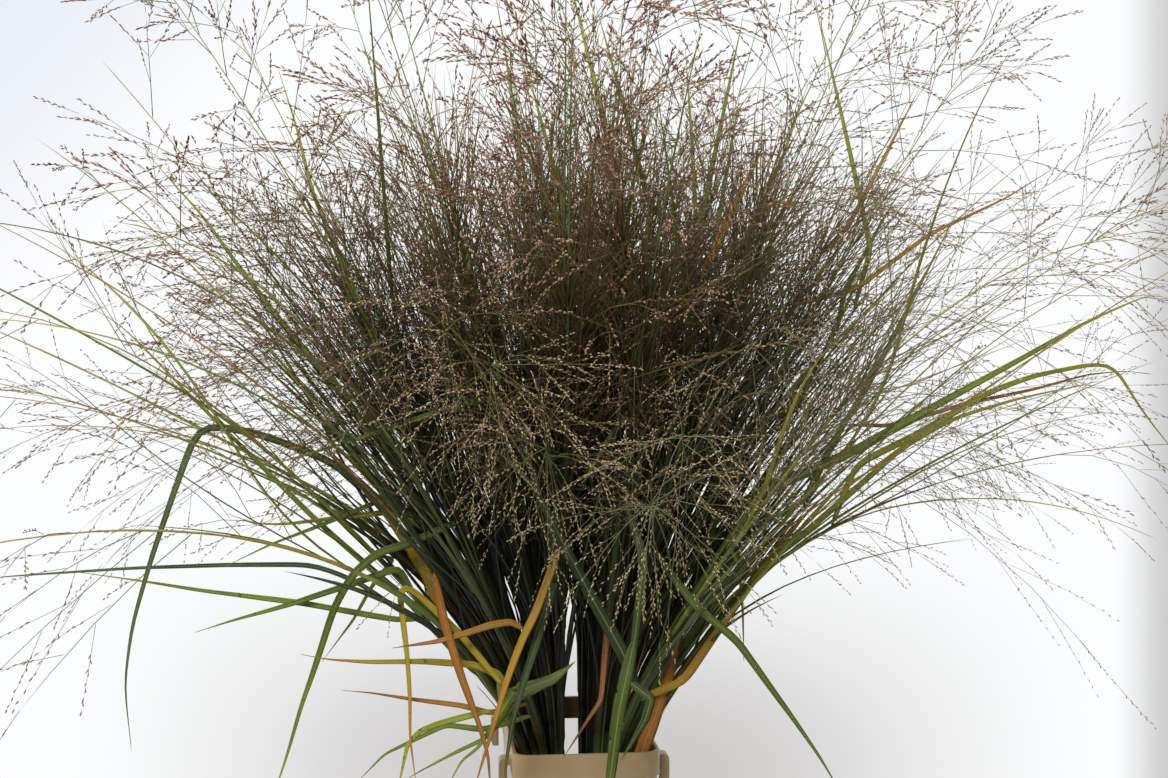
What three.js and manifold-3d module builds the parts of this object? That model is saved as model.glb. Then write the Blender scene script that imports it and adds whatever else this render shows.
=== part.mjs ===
// Cut switchgrass standing in a slim plastic flower holder.
//
// Two bunches of leafy stems stand side by side in the holder's water and fan out over its rim.
// Each stem is one grown piece: a culm in its leaf sheaths, long blades, and an open panicle whose
// hair-fine branches end in spikelets. Millimetres, +Z up, origin at the middle of the holder's
// underside; the holder's narrow front faces -Y.

import * as THREE from "three";
import { mergeVertices } from "three/addons/utils/BufferGeometryUtils.js";
import Module from "manifold-3d";

const wasm = await Module();
wasm.setup();

// ---------------------------------------------------------------- driving dimensions

const DEGREE = Math.PI / 180;
const GAP = 0.3; // between pieces that touch
const UP = new THREE.Vector3(0, 0, 1);

const HOLDER = {
  height: 300,
  foot: { x: 49, y: 90 }, // half sizes outside, just above the underside
  wallTop: { x: 56, y: 98 }, // half sizes outside, under the rim band
  band: { x: 58, y: 100, height: 20 },
  insideFoot: { x: 45.5, y: 86.5 },
  insideTop: { x: 54.2, y: 96.2 },
  floor: 3.5,
  corner: 12,
};
const HAND_SLOT = { width: 76, height: 36, corner: 10 };
const CLIP = { out: 9.5, gap: 3, length: 14, drop: 26, below: 8, y: 70 };
const WATER_DEPTH = 85;

// The stems pass the rim in columns, a left bunch and a right one, staggered from row to row.
const COLUMNS = { left: [-14, -22.5, -31, -40, -49], right: [8, 18, 28, 38, 48] };
const ROWS = 5;
const ROW_SPACING = 35;
// The rows, front to back, whose outermost stem weeps from low down.
const WEEPING_ROWS = { left: [0, 2, 3], right: [1, 4] };
// The bunch's best side is turned this far from the holder's front.
const BEST_SIDE = -6 * DEGREE;

const STEM = { length: 680, shorterOutside: 60, bendStart: 80, panicleShare: 0.5 };
// A stem's lean as a slope: beside the gap between the bunches, at the side walls, at the end
// walls, and the most that the crowd allows. Past the outer slope a stem may hang up to the extra
// share lower.
const LEAN = {
  gap: 0.03,
  sideWall: 1.28,
  endWall: 1.2005,
  most: 1.42,
  crowd: 1.3,
  outer: 0.95,
  extra: 0.35,
};
// How far a panicle droops, in degrees: on inner stems, on outer ones and on weeping ones.
const DROOP = { inner: [0, 14], outer: [8, 60], weeping: [48, 62] };
// A stem that would run into another turns and straightens, one step at a time.
const STEM_TURNS = [0, 1, -1, 2, -2, 3, -3, 4, -4];
const STEM_TURN = { degrees: 4, straighter: 0.02 };
const CULM_SIDES = 4;
// Distances along a stem from the rim where its culm is cut into straight lengths.
const CULM_CUTS = [-80, 0, 50, 130, 240, 370];
const CULM_RADII = [
  // [distance along the stem from the rim, radius]
  [-80, 2.5],
  [0, 3],
  [190, 2.5],
  [330, 1.5],
  [560, 0.8],
  [700, 0.5],
];
const BLADE_KEEL = 1.2;
const BLADE_CUTS = 5;
const SECOND_BLADES = 0.4; // share of the stems that have a second common blade
const BRANCHES = 5;
const BRANCH_RADIUS = 0.48;
const SPIKELET = { length: 5.5, radius: 1.15 };

// Blades that show singly on the best side. Points are [across to the right, above the rim] in the
// upright plane of that side, and depth is how far behind the holder's middle the blade's first
// and last points lie.
const SHOWN_BLADES = [
  // Left, hanging or level.
  { width: 9, depth: [-90, -130], path: [
      [-140, 187], [-188, 227], [-242, 249], [-286, 254], [-300, 227], [-320, 166], [-334, 112],
      [-339, 60], [-332, 8]
  ] },
  { width: 8, depth: [-60, -110], path: [
      [-140, 105], [-172, 129], [-206, 143], [-272, 144], [-342, 143], [-442, 138], [-475, 133]
  ] },
  { width: 7, depth: [-100, -90], path: [[-134, 104], [-211, 117], [-288, 126], [-334, 133], [-388, 140]] },
  { width: 8, depth: [-110, -95], path: [[-134, 146], [-179, 130], [-220, 116], [-265, 103], [-295, 93]] },
  { width: 6, depth: [-80, -90], path: [[-120, 215], [-151, 195], [-196, 176], [-236, 161], [-273, 143]] },
  { width: 6.5, depth: [-70, -100], path: [
      [-118, 172], [-143, 185], [-186, 181], [-226, 177], [-246, 178], [-269, 187]
  ] },
  { width: 9, depth: [-120, -125], path: [
      [-128, 164], [-147, 160], [-167, 143], [-181, 118], [-196, 71], [-206, 43], [-216, 8],
      [-232, -40]
  ] },
  { width: 5, depth: [-90, -100], path: [[-140, 150], [-156, 130], [-171, 103], [-195, 71]] },
  { width: 8.5, depth: [-90, -95], path: [
      [-80, 58], [-134, 118], [-199, 175], [-246, 222], [-305, 281], [-346, 324], [-367, 341],
      [-389, 349]
  ] },
  { width: 8, depth: [0, 10], path: [
      [-146, 214], [-203, 286], [-246, 337], [-279, 379], [-312, 425], [-342, 458], [-360, 479]
  ] },
  { width: 9, depth: [-20, -10], path: [[-154, 296], [-192, 387], [-216, 442], [-229, 496], [-245, 546]] },
  // Upright, showing between the panicles.
  { width: 9, depth: [-20, 0], path: [[47, 354], [35, 442], [24, 502], [-1, 604], [-8, 637]] },
  { width: 7, depth: [20, 20], path: [[62, 437], [38, 529], [17, 604]] },
  { width: 8, depth: [-40, -20], path: [[4, 354], [-5, 408], [-13, 445], [-27, 497], [-42, 553]] },
  { width: 9, depth: [0, 0], path: [[-79, 346], [-94, 404], [-108, 458], [-125, 525]] },
  { width: 6, depth: [10, 10], path: [[102, 404], [98, 487], [92, 566]] },
  { width: 7, depth: [0, 20], path: [[104, 416], [121, 496], [142, 596]] },
  { width: 7, depth: [-30, -20], path: [[96, 366], [121, 416], [158, 487]] },
  { width: 6, depth: [30, 40], path: [[117, 396], [129, 462], [142, 537]] },
  // Right, upright or leaning out.
  { width: 6.5, depth: [0, 10], path: [[246, 396], [231, 468], [214, 545], [201, 604]] },
  { width: 6, depth: [20, 20], path: [[146, 404], [178, 483], [197, 538]] },
  { width: 7, depth: [10, 10], path: [[229, 416], [257, 470], [288, 531]] },
  { width: 6, depth: [-30, -20], path: [[229, 362], [288, 406], [352, 436], [392, 461]] },
  { width: 8, depth: [-20, -20], path: [[188, 187], [212, 237], [242, 286], [280, 360], [316, 432]] },
  { width: 6, depth: [30, 40], path: [[229, 362], [265, 427], [284, 457]] },
  { width: 7, depth: [0, 0], path: [[188, 270], [218, 332], [248, 398]] },
  { width: 11, depth: [-50, -50], path: [
      [110, 178], [155, 200], [216, 227], [257, 250], [308, 278], [359, 306], [410, 335],
      [465, 359], [478, 352]
  ] },
  { width: 8, depth: [-75, -80], path: [
      [220, 222], [270, 247], [326, 280], [359, 294], [400, 300], [416, 300], [431, 280],
      [444, 262], [460, 243], [475, 225]
  ] },
  { width: 5, depth: [-20, -20], path: [
      [260, 250], [320, 268], [377, 280], [420, 292], [451, 295], [475, 292]
  ] },
  { width: 8, depth: [-95, -70], path: [
      [120, 130], [169, 162], [216, 202], [257, 237], [297, 259], [348, 274], [416, 288]
  ] },
  { width: 9, depth: [-150, -160], path: [
      [88, 125], [120, 98], [143, 66], [162, 40], [180, 14], [200, -20]
  ] },
  { width: 4.5, depth: [-50, -50], path: [[122, 157], [132, 140], [135, 102], [136, 61]] },
  { width: 9, depth: [-100, -95], path: [[54, 4], [64, 31], [74, 62], [81, 89], [91, 111]] },
  // Front, low over the rim.
  { width: 10.5, depth: [-185, -215], path: [
      [47, 67], [36, 95], [13, 137], [-6, 174], [-25, 212], [-41, 232], [-64, 250]
  ] },
  { width: 13, depth: [-195, -200], path: [
      [50, 165], [45, 121], [42, 98], [33, 74], [27, 46], [24, 12], [21, -10]
  ] },
  { width: 8, depth: [-175, -180], path: [[40, 81], [54, 70], [50, 56], [33, 28]] },
  { width: 10, depth: [-170, -185], path: [[-32, 62], [-16, 70], [2, 90]] },
  { width: 7, depth: [-190, -205], path: [
      [-26, 127], [-36, 107], [-46, 81], [-55, 51], [-67, 12], [-72, -6]
  ] },
  { width: 6.5, depth: [-180, -170], path: [[-26, 104], [-36, 73], [-44, 44], [-49, 12], [-50, -15]] },
  { width: 7, depth: [-150, -165], path: [
      [-37, 106], [-46, 112], [-61, 110], [-84, 103], [-100, 99], [-133, 95]
  ] },
  { width: 7, depth: [-140, -150], path: [
      [-52, 61], [-84, 101], [-109, 125], [-124, 139], [-129, 134], [-126, 115], [-123, 87],
      [-121, 56], [-121, 25], [-115, -19]
  ] },
  { width: 8, depth: [-130, -160], path: [
      [-55, 68], [-74, 77], [-110, 81], [-151, 82], [-180, 85], [-201, 90]
  ] },
  { width: 5.5, depth: [-120, -150], path: [[-64, 37], [-84, 44], [-120, 51], [-151, 58], [-172, 61]] },
  { width: 7, depth: [-140, -150], path: [
      [-61, 44], [-79, 40], [-100, 35], [-114, 30], [-123, 20], [-128, -3], [-130, -19]
  ] },
  { width: 7, depth: [-110, -130], path: [[-69, 22], [-98, 27], [-120, 17], [-143, 7], [-165, -15]] },
  { width: 5.5, depth: [-130, -140], path: [[-67, 20], [-90, 10], [-116, -3], [-131, -12]] },
  { width: 5, depth: [-145, -150], path: [[-71, 17], [-83, 8], [-98, -19]] },
  { width: 9, depth: [-125, -135], path: [[-87, 76], [-61, 33], [-63, 16], [-61, -19]] },
  { width: 7, depth: [-160, -165], path: [[20, 56], [9, 40], [-9, 13]] },
];

// ---------------------------------------------------------------- small tools

/** A repeatable draw from 0 to 1 for one seed and one purpose. */
function draw(seed, purpose) {
  const value = Math.sin(seed * 12.9898 + purpose * 78.233) * 43758.5453;
  return value - Math.floor(value);
}

const between = (low, high, share) => low + (high - low) * share;

/** The value at x of a list of [x, value] pairs joined by straight lines. */
function ramp(pairs, x) {
  if (x <= pairs[0][0]) return pairs[0][1];
  for (let i = 1; i < pairs.length; i++) {
    const [x0, v0] = pairs[i - 1];
    const [x1, v1] = pairs[i];
    if (x <= x1) return v0 + ((v1 - v0) * (x - x0)) / (x1 - x0);
  }
  return pairs[pairs.length - 1][1];
}

/** A closed solid through rings of points. A ring of one point is a tip. */
function skin(rings) {
  const positions = rings.flat().flatMap((p) => [p.x, p.y, p.z]);
  const starts = [];
  let count = 0;
  for (const ring of rings) {
    starts.push(count);
    count += ring.length;
  }
  const faces = [];
  for (let i = 1; i < rings.length; i++) {
    const sides = Math.max(rings[i - 1].length, rings[i].length);
    const at = (k, j) => starts[k] + (j % rings[k].length);
    for (let j = 0; j < sides; j++) {
      if (rings[i - 1].length > 1) faces.push(at(i - 1, j), at(i - 1, j + 1), at(i, j + 1));
      if (rings[i].length > 1) faces.push(at(i - 1, j), at(i, j + 1), at(i, j));
    }
  }
  const last = rings.length - 1;
  for (let j = 1; j < rings[0].length - 1; j++) faces.push(0, j + 1, j);
  for (let j = 1; j < rings[last].length - 1; j++) {
    faces.push(starts[last], starts[last] + j, starts[last] + j + 1);
  }
  return new wasm.Manifold(
    new wasm.Mesh({
      numProp: 3,
      vertProperties: new Float32Array(positions),
      triVerts: new Uint32Array(faces),
    }),
  );
}

/** A three.js geometry as a solid that can be cut and joined. */
function solidOf(geometry) {
  const bare = geometry.index ? geometry.toNonIndexed() : geometry.clone();
  bare.deleteAttribute("normal");
  bare.deleteAttribute("uv");
  const merged = mergeVertices(bare, 1e-4);
  return new wasm.Manifold(
    new wasm.Mesh({
      numProp: 3,
      vertProperties: merged.attributes.position.array,
      triVerts: new Uint32Array(merged.index.array),
    }),
  );
}

/** A named mesh of a solid, in one material. */
function meshOf(name, solid, material) {
  const { vertProperties, triVerts, numProp, numVert } = solid.getMesh();
  const positions = new Float32Array(numVert * 3);
  for (let i = 0; i < numVert; i++) {
    positions.set(vertProperties.subarray(i * numProp, i * numProp + 3), i * 3);
  }
  const geometry = new THREE.BufferGeometry();
  geometry.setAttribute("position", new THREE.BufferAttribute(positions, 3));
  geometry.setIndex(new THREE.BufferAttribute(triVerts, 1));
  const mesh = new THREE.Mesh(geometry, material);
  mesh.name = name;
  return mesh;
}

// ---------------------------------------------------------------- holder

/** A ring of points round a rectangle with round corners, at one height. */
function roundedRing(half, corner, z) {
  const steps = 3;
  const ring = [];
  for (let quarter = 0; quarter < 4; quarter++) {
    const signX = quarter === 0 || quarter === 3 ? 1 : -1;
    const signY = quarter < 2 ? 1 : -1;
    for (let i = 0; i <= steps; i++) {
      const angle = (quarter + i / steps) * 90 * DEGREE;
      ring.push(
        new THREE.Vector3(
          signX * (half.x - corner) + corner * Math.cos(angle),
          signY * (half.y - corner) + corner * Math.sin(angle),
          z,
        ),
      );
    }
  }
  return ring;
}

/** A slot's outline with round corners, pushed right through both end walls. */
function handSlots() {
  const { width, height, corner } = HAND_SLOT;
  const top = HOLDER.height - HOLDER.band.height + 0.5;
  const left = -width / 2;
  const bottom = top - height;
  const outline = new THREE.Shape();
  outline.moveTo(left + corner, bottom);
  outline.lineTo(-left - corner, bottom);
  outline.absarc(-left - corner, bottom + corner, corner, -90 * DEGREE, 0);
  outline.absarc(-left - corner, top - corner, corner, 0, 90 * DEGREE);
  outline.absarc(left + corner, top - corner, corner, 90 * DEGREE, 180 * DEGREE);
  outline.absarc(left + corner, bottom + corner, corner, 180 * DEGREE, 270 * DEGREE);
  const depth = 2 * HOLDER.band.y + 20;
  const bar = new THREE.ExtrudeGeometry(outline, { depth, bevelEnabled: false, curveSegments: 4 });
  bar.rotateX(90 * DEGREE);
  bar.translate(0, depth / 2, 0);
  return solidOf(bar);
}

/** A hook on a side wall: out, then down, open below. side is 1 on the right and -1 on the left. */
function clip(side, y) {
  const { out, gap, length, drop, below } = CLIP;
  const wall = HOLDER.band.x - 1.5;
  const top = HOLDER.height - below;
  const inner = HOLDER.band.x + gap;
  const outer = HOLDER.band.x + out;
  const profile = new THREE.Shape();
  profile.moveTo(wall, top - 5);
  profile.lineTo(inner, top - 5);
  profile.lineTo(inner, top - drop);
  profile.lineTo(outer - 1.5, top - drop);
  profile.lineTo(outer, top - drop + 4);
  profile.lineTo(outer, top - 2.5);
  profile.lineTo(outer - 2.5, top);
  profile.lineTo(wall, top);
  const shape = new THREE.ExtrudeGeometry(profile, {
    depth: length,
    bevelEnabled: false,
    curveSegments: 3,
  });
  shape.rotateX(90 * DEGREE);
  shape.translate(0, y + length / 2, 0);
  if (side < 0) shape.rotateZ(180 * DEGREE).translate(0, 2 * y, 0);
  return solidOf(shape);
}

/** The holder: a tapered bucket with a rim band, a hand slot in each end wall and four clips. */
function makeHolder() {
  const { height, foot, wallTop, band, insideFoot, insideTop, floor, corner } = HOLDER;
  const outside = skin([
    roundedRing({ x: foot.x - 1.5, y: foot.y - 1.5 }, corner - 1.5, 0),
    roundedRing(foot, corner, 2),
    roundedRing(wallTop, corner, height - band.height),
    roundedRing(band, corner + 1, height - band.height + 0.2),
    roundedRing(band, corner + 1, height - 1),
    roundedRing({ x: band.x - 0.8, y: band.y - 0.8 }, corner + 0.2, height),
  ]);
  const slope = (height + 4 - floor) / (height - floor);
  const inside = skin([
    roundedRing(insideFoot, corner - 3, floor),
    roundedRing(
      {
        x: between(insideFoot.x, insideTop.x, slope),
        y: between(insideFoot.y, insideTop.y, slope),
      },
      corner - 2,
      height + 4,
    ),
  ]);
  let holder = outside;
  for (const side of [-1, 1]) {
    for (const y of [-CLIP.y, CLIP.y]) holder = holder.add(clip(side, y));
  }
  return holder.subtract(inside).subtract(handSlots());
}

// ---------------------------------------------------------------- stems

/** How far from upright a stem of lean 1 is, as a slope, at a distance along it from the rim. */
function slopeAt(along) {
  if (along < 0) return 0.28 * Math.max(0, 1 + along / STEM.bendStart);
  return 0.28 + 0.36 * (1 - Math.exp(-along / 60)) + 0.00035 * along;
}

/** The angle from upright at a distance along a stem: its lean, then its panicle's own droop. */
function tiltAt(stem, along) {
  const start = stem.weeps ? 100 : 0.42 * stem.length;
  const hanging = Math.max(0, along - start) / (stem.length - start);
  return Math.atan(stem.lean * slopeAt(along)) + stem.droop * Math.pow(hanging, stem.weeps ? 0.75 : 2);
}

/** The middle line of a stem from its cut foot to its tip, as {along, point}, one for each cut. */
function middleLine(stem) {
  const flat = new THREE.Vector3(Math.cos(stem.azimuth), Math.sin(stem.azimuth), 0);
  const walk = (cuts) => {
    const step = Math.sign(cuts[cuts.length - 1]) * 5;
    const point = new THREE.Vector3(stem.x, stem.y, HOLDER.height);
    const found = [];
    let along = 0;
    for (const cut of cuts) {
      while (Math.abs(cut - along) > 1e-6) {
        const part = Math.abs(cut - along) < 5 ? cut - along : step;
        const tilt = tiltAt(stem, along + part / 2);
        point.addScaledVector(flat, part * Math.sin(tilt));
        point.addScaledVector(UP, part * Math.cos(tilt));
        along += part;
      }
      found.push({ along, point: point.clone() });
    }
    return found;
  };
  const panicle = [0.8, 1].map((share) => share * stem.length);
  const [bend] = walk([CULM_CUTS[0]]);
  const foot = bend.point.clone().setZ(HOLDER.floor + GAP);
  return [
    { along: bend.along - (bend.point.z - foot.z), point: foot },
    bend,
    { along: 0, point: new THREE.Vector3(stem.x, stem.y, HOLDER.height) },
    ...walk([...CULM_CUTS.slice(2), ...panicle]),
  ];
}

/** The point on a stem's middle line at a distance along it. */
function pointAt(line, along) {
  for (let i = 1; i < line.length; i++) {
    if (along <= line[i].along) {
      const share = (along - line[i - 1].along) / (line[i].along - line[i - 1].along);
      return line[i - 1].point.clone().lerp(line[i].point, share);
    }
  }
  return line[line.length - 1].point.clone();
}

/** Unit vectors at a place on a stem: along it, out from the bunch, and across. */
function framesAt(stem, along) {
  const tilt = tiltAt(stem, along);
  const [c, s] = [Math.cos(stem.azimuth), Math.sin(stem.azimuth)];
  return {
    forward: new THREE.Vector3(c * Math.sin(tilt), s * Math.sin(tilt), Math.cos(tilt)),
    out: new THREE.Vector3(c * Math.cos(tilt), s * Math.cos(tilt), -Math.sin(tilt)),
    across: new THREE.Vector3(-s, c, 0),
  };
}

/** The culm with its sheaths, from the cut foot to the panicle's tip. */
function culm(stem) {
  const rings = stem.line.map(({ along, point }, i) => {
    if (i === stem.line.length - 1) return [point];
    const { out, across } = framesAt(stem, along);
    const radius = ramp(CULM_RADII, along);
    return Array.from({ length: CULM_SIDES }, (_, k) => {
      const angle = ((k + 0.5) / CULM_SIDES) * 360 * DEGREE;
      return point
        .clone()
        .addScaledVector(out, radius * Math.cos(angle))
        .addScaledVector(across, radius * Math.sin(angle));
    });
  });
  return skin(rings);
}

/** Where each stem passes the rim, which way it leans and how long it is, one try at each. */
function stemTry(bunch, columns, c, row, seed, turn) {
  const column = columns[c];
  const stagger = (((row * 0.382 + c * 0.5) % 1) - 0.5) * 5;
  const rowPlace = row - (ROWS - 1) / 2 + (c % 2 ? 0.2 : -0.2);
  const y = rowPlace * ROW_SPACING + between(-3, 3, draw(seed, 1));
  const inward = Math.sign(-column) * Math.max(0, stagger * (c / 4));
  const x = column + inward + (c < columns.length - 1 ? stagger * 0.5 : 0);
  // The lean grows evenly from the gap between the bunches to the outer walls.
  const across = Math.abs((x - columns[0]) / (columns[columns.length - 1] - columns[0]));
  const leanX = Math.sign(column) * between(LEAN.gap, LEAN.sideWall, across);
  const leanY = (y / HOLDER.wallTop.y) * LEAN.endWall;
  const raw = Math.hypot(leanX, leanY);
  const isOuter = raw > LEAN.outer;
  const hang = isOuter ? 1 + LEAN.extra * Math.pow(draw(seed, 3), 1.4) : 1;
  const lean = LEAN.most * Math.tanh(raw / LEAN.crowd) * hang;
  const weeps = c === columns.length - 1 && WEEPING_ROWS[bunch].includes(row);
  const shorter = STEM.shorterOutside * Math.min(LEAN.crowd, lean);
  let droop = between(...DROOP.inner, draw(seed, 4));
  if (isOuter) droop = between(...DROOP.outer, Math.pow(draw(seed, 4), 1.3));
  if (weeps) droop = between(...DROOP.weeping, draw(seed, 7));
  return {
    seed,
    name: `leafy_stem_${bunch}_${String(c * ROWS + row + 1).padStart(2, "0")}`,
    x,
    y,
    azimuth: Math.atan2(leanY, leanX) + turn * STEM_TURN.degrees * DEGREE,
    lean: lean * (1 - STEM_TURN.straighter * Math.abs(turn)),
    droop: droop * DEGREE,
    weeps,
    length: STEM.length - shorter + between(-40, 30, draw(seed, 5)),
  };
}

// ---------------------------------------------------------------- blades

/** How wide a blade is along its length, as a share of its widest. */
const BLADE_OUTLINE = [
  [0, 0.35],
  [0.06, 0.75],
  [0.25, 1],
  [0.5, 0.92],
  [0.75, 0.62],
  [0.92, 0.26],
  [1, 0],
];

/** A blade's centre points, the way it faces and its width at shares of its length, as rings. */
function bladeRings(blade, shares) {
  return shares.map((share) => {
    const centre = blade.at(share);
    if (share === 1) return [centre];
    const ahead = blade.at(Math.min(1, share + 0.01));
    const behind = blade.at(Math.max(0, share - 0.01));
    const forward = ahead.sub(behind).normalize();
    const across = blade.facing.clone().cross(forward).normalize();
    const face = forward.clone().cross(across);
    const half = (blade.width / 2) * ramp(BLADE_OUTLINE, share);
    const keel = BLADE_KEEL * (1 - 0.4 * share);
    return [
      centre.clone().addScaledVector(across, -half),
      centre.clone().addScaledVector(face, -keel),
      centre.clone().addScaledVector(across, half),
    ];
  });
}

/** A blade that grew by the common rule: it parts from its stem and arches over. */
function commonBlade(stem, number, turn) {
  const seed = stem.seed * 10 + number;
  const along = between(70, 290, draw(seed, 11));
  const azimuth = stem.azimuth + (between(-80, 80, draw(seed, 12)) + turn) * DEGREE;
  const length = between(240, 420, draw(seed, 13));
  const parting = between(4, 16, draw(seed, 17)) * DEGREE;
  const tilt = tiltAt(stem, along) * Math.cos(azimuth - stem.azimuth) + parting;
  const arch = between(4, 60, Math.pow(draw(seed, 14), 2.2)) * DEGREE;
  const flat = new THREE.Vector3(Math.cos(azimuth), Math.sin(azimuth), 0);
  const roll = between(-0.9, 0.9, draw(seed, 15));
  const facing = new THREE.Vector3(-flat.x, -flat.y, 1)
    .normalize()
    .addScaledVector(new THREE.Vector3(-flat.y, flat.x, 0), roll)
    .normalize();
  const steps = 24;
  const points = [pointAt(stem.line, along)];
  const { forward } = framesAt(stem, along);
  for (let i = 0; i < steps; i++) {
    const share = (i + 0.5) / steps;
    const angle = tilt + arch * Math.pow(share, 1.4);
    const parted = Math.min(1, share / 0.3);
    const heading = flat.clone().multiplyScalar(Math.sin(angle)).addScaledVector(UP, Math.cos(angle));
    heading.lerp(forward, 1 - parted).normalize();
    points.push(points[i].clone().addScaledVector(heading, length / steps));
  }
  return {
    width: between(6.5, 10.5, draw(seed, 16)),
    facing,
    length,
    at: (share) => {
      const place = share * steps;
      const i = Math.min(steps - 1, Math.floor(place));
      return points[i].clone().lerp(points[i + 1], place - i);
    },
    shares: Array.from({ length: BLADE_CUTS + 1 }, (_, i) => i / BLADE_CUTS),
  };
}

/** A point of the upright plane of the best side, at a depth behind the holder's middle. */
function shownPoint([across, above], depth) {
  const [c, s] = [Math.cos(BEST_SIDE), Math.sin(BEST_SIDE)];
  return new THREE.Vector3(across * c - depth * s, across * s + depth * c, HOLDER.height + above);
}

/** A blade that shows singly, grown from a place on its stem. */
function shownBlade(shown, stem, along, shift) {
  const lengths = [0];
  for (let i = 1; i < shown.path.length; i++) {
    const [x0, z0] = shown.path[i - 1];
    const [x1, z1] = shown.path[i];
    lengths.push(lengths[i - 1] + Math.hypot(x1 - x0, z1 - z0));
  }
  const total = lengths[lengths.length - 1];
  const points = shown.path.map((place, i) =>
    shownPoint(place, between(shown.depth[0], shown.depth[1], lengths[i] / total) + shift),
  );
  points.unshift(pointAt(stem.line, along));
  const far = [0];
  for (let i = 1; i < points.length; i++) far.push(far[i - 1] + points[i].distanceTo(points[i - 1]));
  const whole = far[far.length - 1];
  const shares = far.map((d) => d / whole);
  shares[shares.length - 1] = 1;
  return {
    width: shown.width,
    facing: new THREE.Vector3(Math.sin(BEST_SIDE), -Math.cos(BEST_SIDE), 0),
    at: (share) => {
      let i = 1;
      while (i < shares.length - 1 && share > shares[i]) i++;
      const part = (share - shares[i - 1]) / (shares[i] - shares[i - 1]);
      return points[i - 1].clone().lerp(points[i], part);
    },
    shares,
    length: whole,
  };
}

/** The places on stems that a shown blade may grow from, nearest first. */
function rootsOf(shown) {
  const first = shownPoint(shown.path[0], shown.depth[0]);
  const second = shownPoint(shown.path[1], shown.depth[0]);
  const heading = second.sub(first).normalize();
  const roots = [];
  for (const stem of stems) {
    for (let along = 8; along < 0.7 * stem.length; along += 12) {
      const toFirst = first.clone().sub(pointAt(stem.line, along));
      const distance = toFirst.length();
      const turn = 1 - toFirst.normalize().dot(heading);
      roots.push({ stem, along, cost: distance + 90 * turn + (distance < 15 ? 15 : 0) });
    }
  }
  return roots.sort((a, b) => a.cost - b.cost).slice(0, 60);
}

// ---------------------------------------------------------------- clearance

const CELL = 26;
const CLEARANCE = 0.5;
// What a blade or a branch tries until it is clear: other depths, other sides, shorter lengths.
const SHIFTS = [0, -8, 8, -16, 16, -26, 26, -40, 40];
const TURNS = [0, 18, -18, 36, -36, 56, -56, 80, -80, 110, -110, 145, -145, 180];
const SHORTER = [1, 0.8, 0.6, 0.45];
const taken = new Map();

const cellOf = (p) => [p.x, p.y, p.z].map((v) => Math.floor(v / CELL));

/** Notes that a stem fills these balls. */
function take(owner, balls) {
  for (const ball of balls) {
    const key = cellOf(ball.point).join();
    if (!taken.has(key)) taken.set(key, []);
    taken.get(key).push({ owner, ...ball });
  }
}

/** Whether another stem comes nearer to these balls than the clearance. */
function metBy(owner, balls, clearance) {
  for (const { point, radius } of balls) {
    const [cx, cy, cz] = cellOf(point);
    for (let k = 0; k < 27; k++) {
      const [dx, dy, dz] = [(k % 3) - 1, (Math.floor(k / 3) % 3) - 1, Math.floor(k / 9) - 1];
      const key = [cx + dx, cy + dy, cz + dz].join();
      for (const other of taken.get(key) ?? []) {
        if (other.owner === owner) continue;
        if (point.distanceTo(other.point) < radius + other.radius + clearance) return true;
      }
    }
  }
  return false;
}

/** Balls along a path, one every few mm. width spreads them sideways, as on a blade. */
function ballsAlong(at, length, radiusAt, acrossAt) {
  const count = Math.ceil(length / 3);
  const balls = [];
  for (let i = 0; i <= count; i++) {
    const share = i / count;
    const radius = radiusAt(share);
    if (!acrossAt) {
      balls.push({ point: at(share), radius });
      continue;
    }
    const across = acrossAt(share);
    for (const side of [-0.6, 0, 0.6]) {
      const point = at(share).addScaledVector(across, side * radius);
      balls.push({ point, radius: radius * 0.45 + 0.7 });
    }
  }
  return balls;
}

/** Balls along a stem's culm. */
function stemBalls(stem) {
  const { line } = stem;
  const from = line[0].along;
  const whole = line[line.length - 1].along - from;
  return ballsAlong(
    (share) => pointAt(line, from + share * whole),
    whole,
    (share) => ramp(CULM_RADII, from + share * whole),
  );
}

/** Balls along and across a blade. */
function bladeBalls(blade) {
  const acrossAt = (share) => {
    const forward = blade.at(Math.min(1, share + 0.01)).sub(blade.at(Math.max(0, share - 0.01)));
    return blade.facing.clone().cross(forward.normalize()).normalize();
  };
  const radiusAt = (share) => (blade.width / 2) * ramp(BLADE_OUTLINE, share);
  return ballsAlong(blade.at, blade.length, radiusAt, acrossAt);
}

// ---------------------------------------------------------------- panicle branches

/** A hair-fine branch that ends in a spikelet, from a place on the panicle's axis. */
function branchPath(stem, number, turn, shorten) {
  const seed = stem.seed * 20 + number;
  const start = STEM.panicleShare * stem.length;
  const share = (number + 0.35) / BRANCHES;
  const along = between(start, 0.97 * stem.length, share);
  const angle = (number * 137.5 + stem.seed * 61 + turn) * DEGREE;
  const spread = between(34, 52, draw(seed, 21)) * DEGREE;
  const length = shorten * (55 + 130 * Math.pow(1 - share, 0.8)) * between(0.85, 1.1, draw(seed, 22));
  const { forward, out, across } = framesAt(stem, along);
  const side = out.multiplyScalar(Math.cos(angle)).addScaledVector(across, Math.sin(angle));
  const heading = forward.multiplyScalar(Math.cos(spread)).addScaledVector(side, Math.sin(spread));
  heading.addScaledVector(UP, -0.1).normalize();
  const root = pointAt(stem.line, along);
  return {
    length,
    sunk: 1.6 * ramp(CULM_RADII, along) + 0.8,
    at: (share) => root.clone().addScaledVector(heading, length * share),
  };
}

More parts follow.
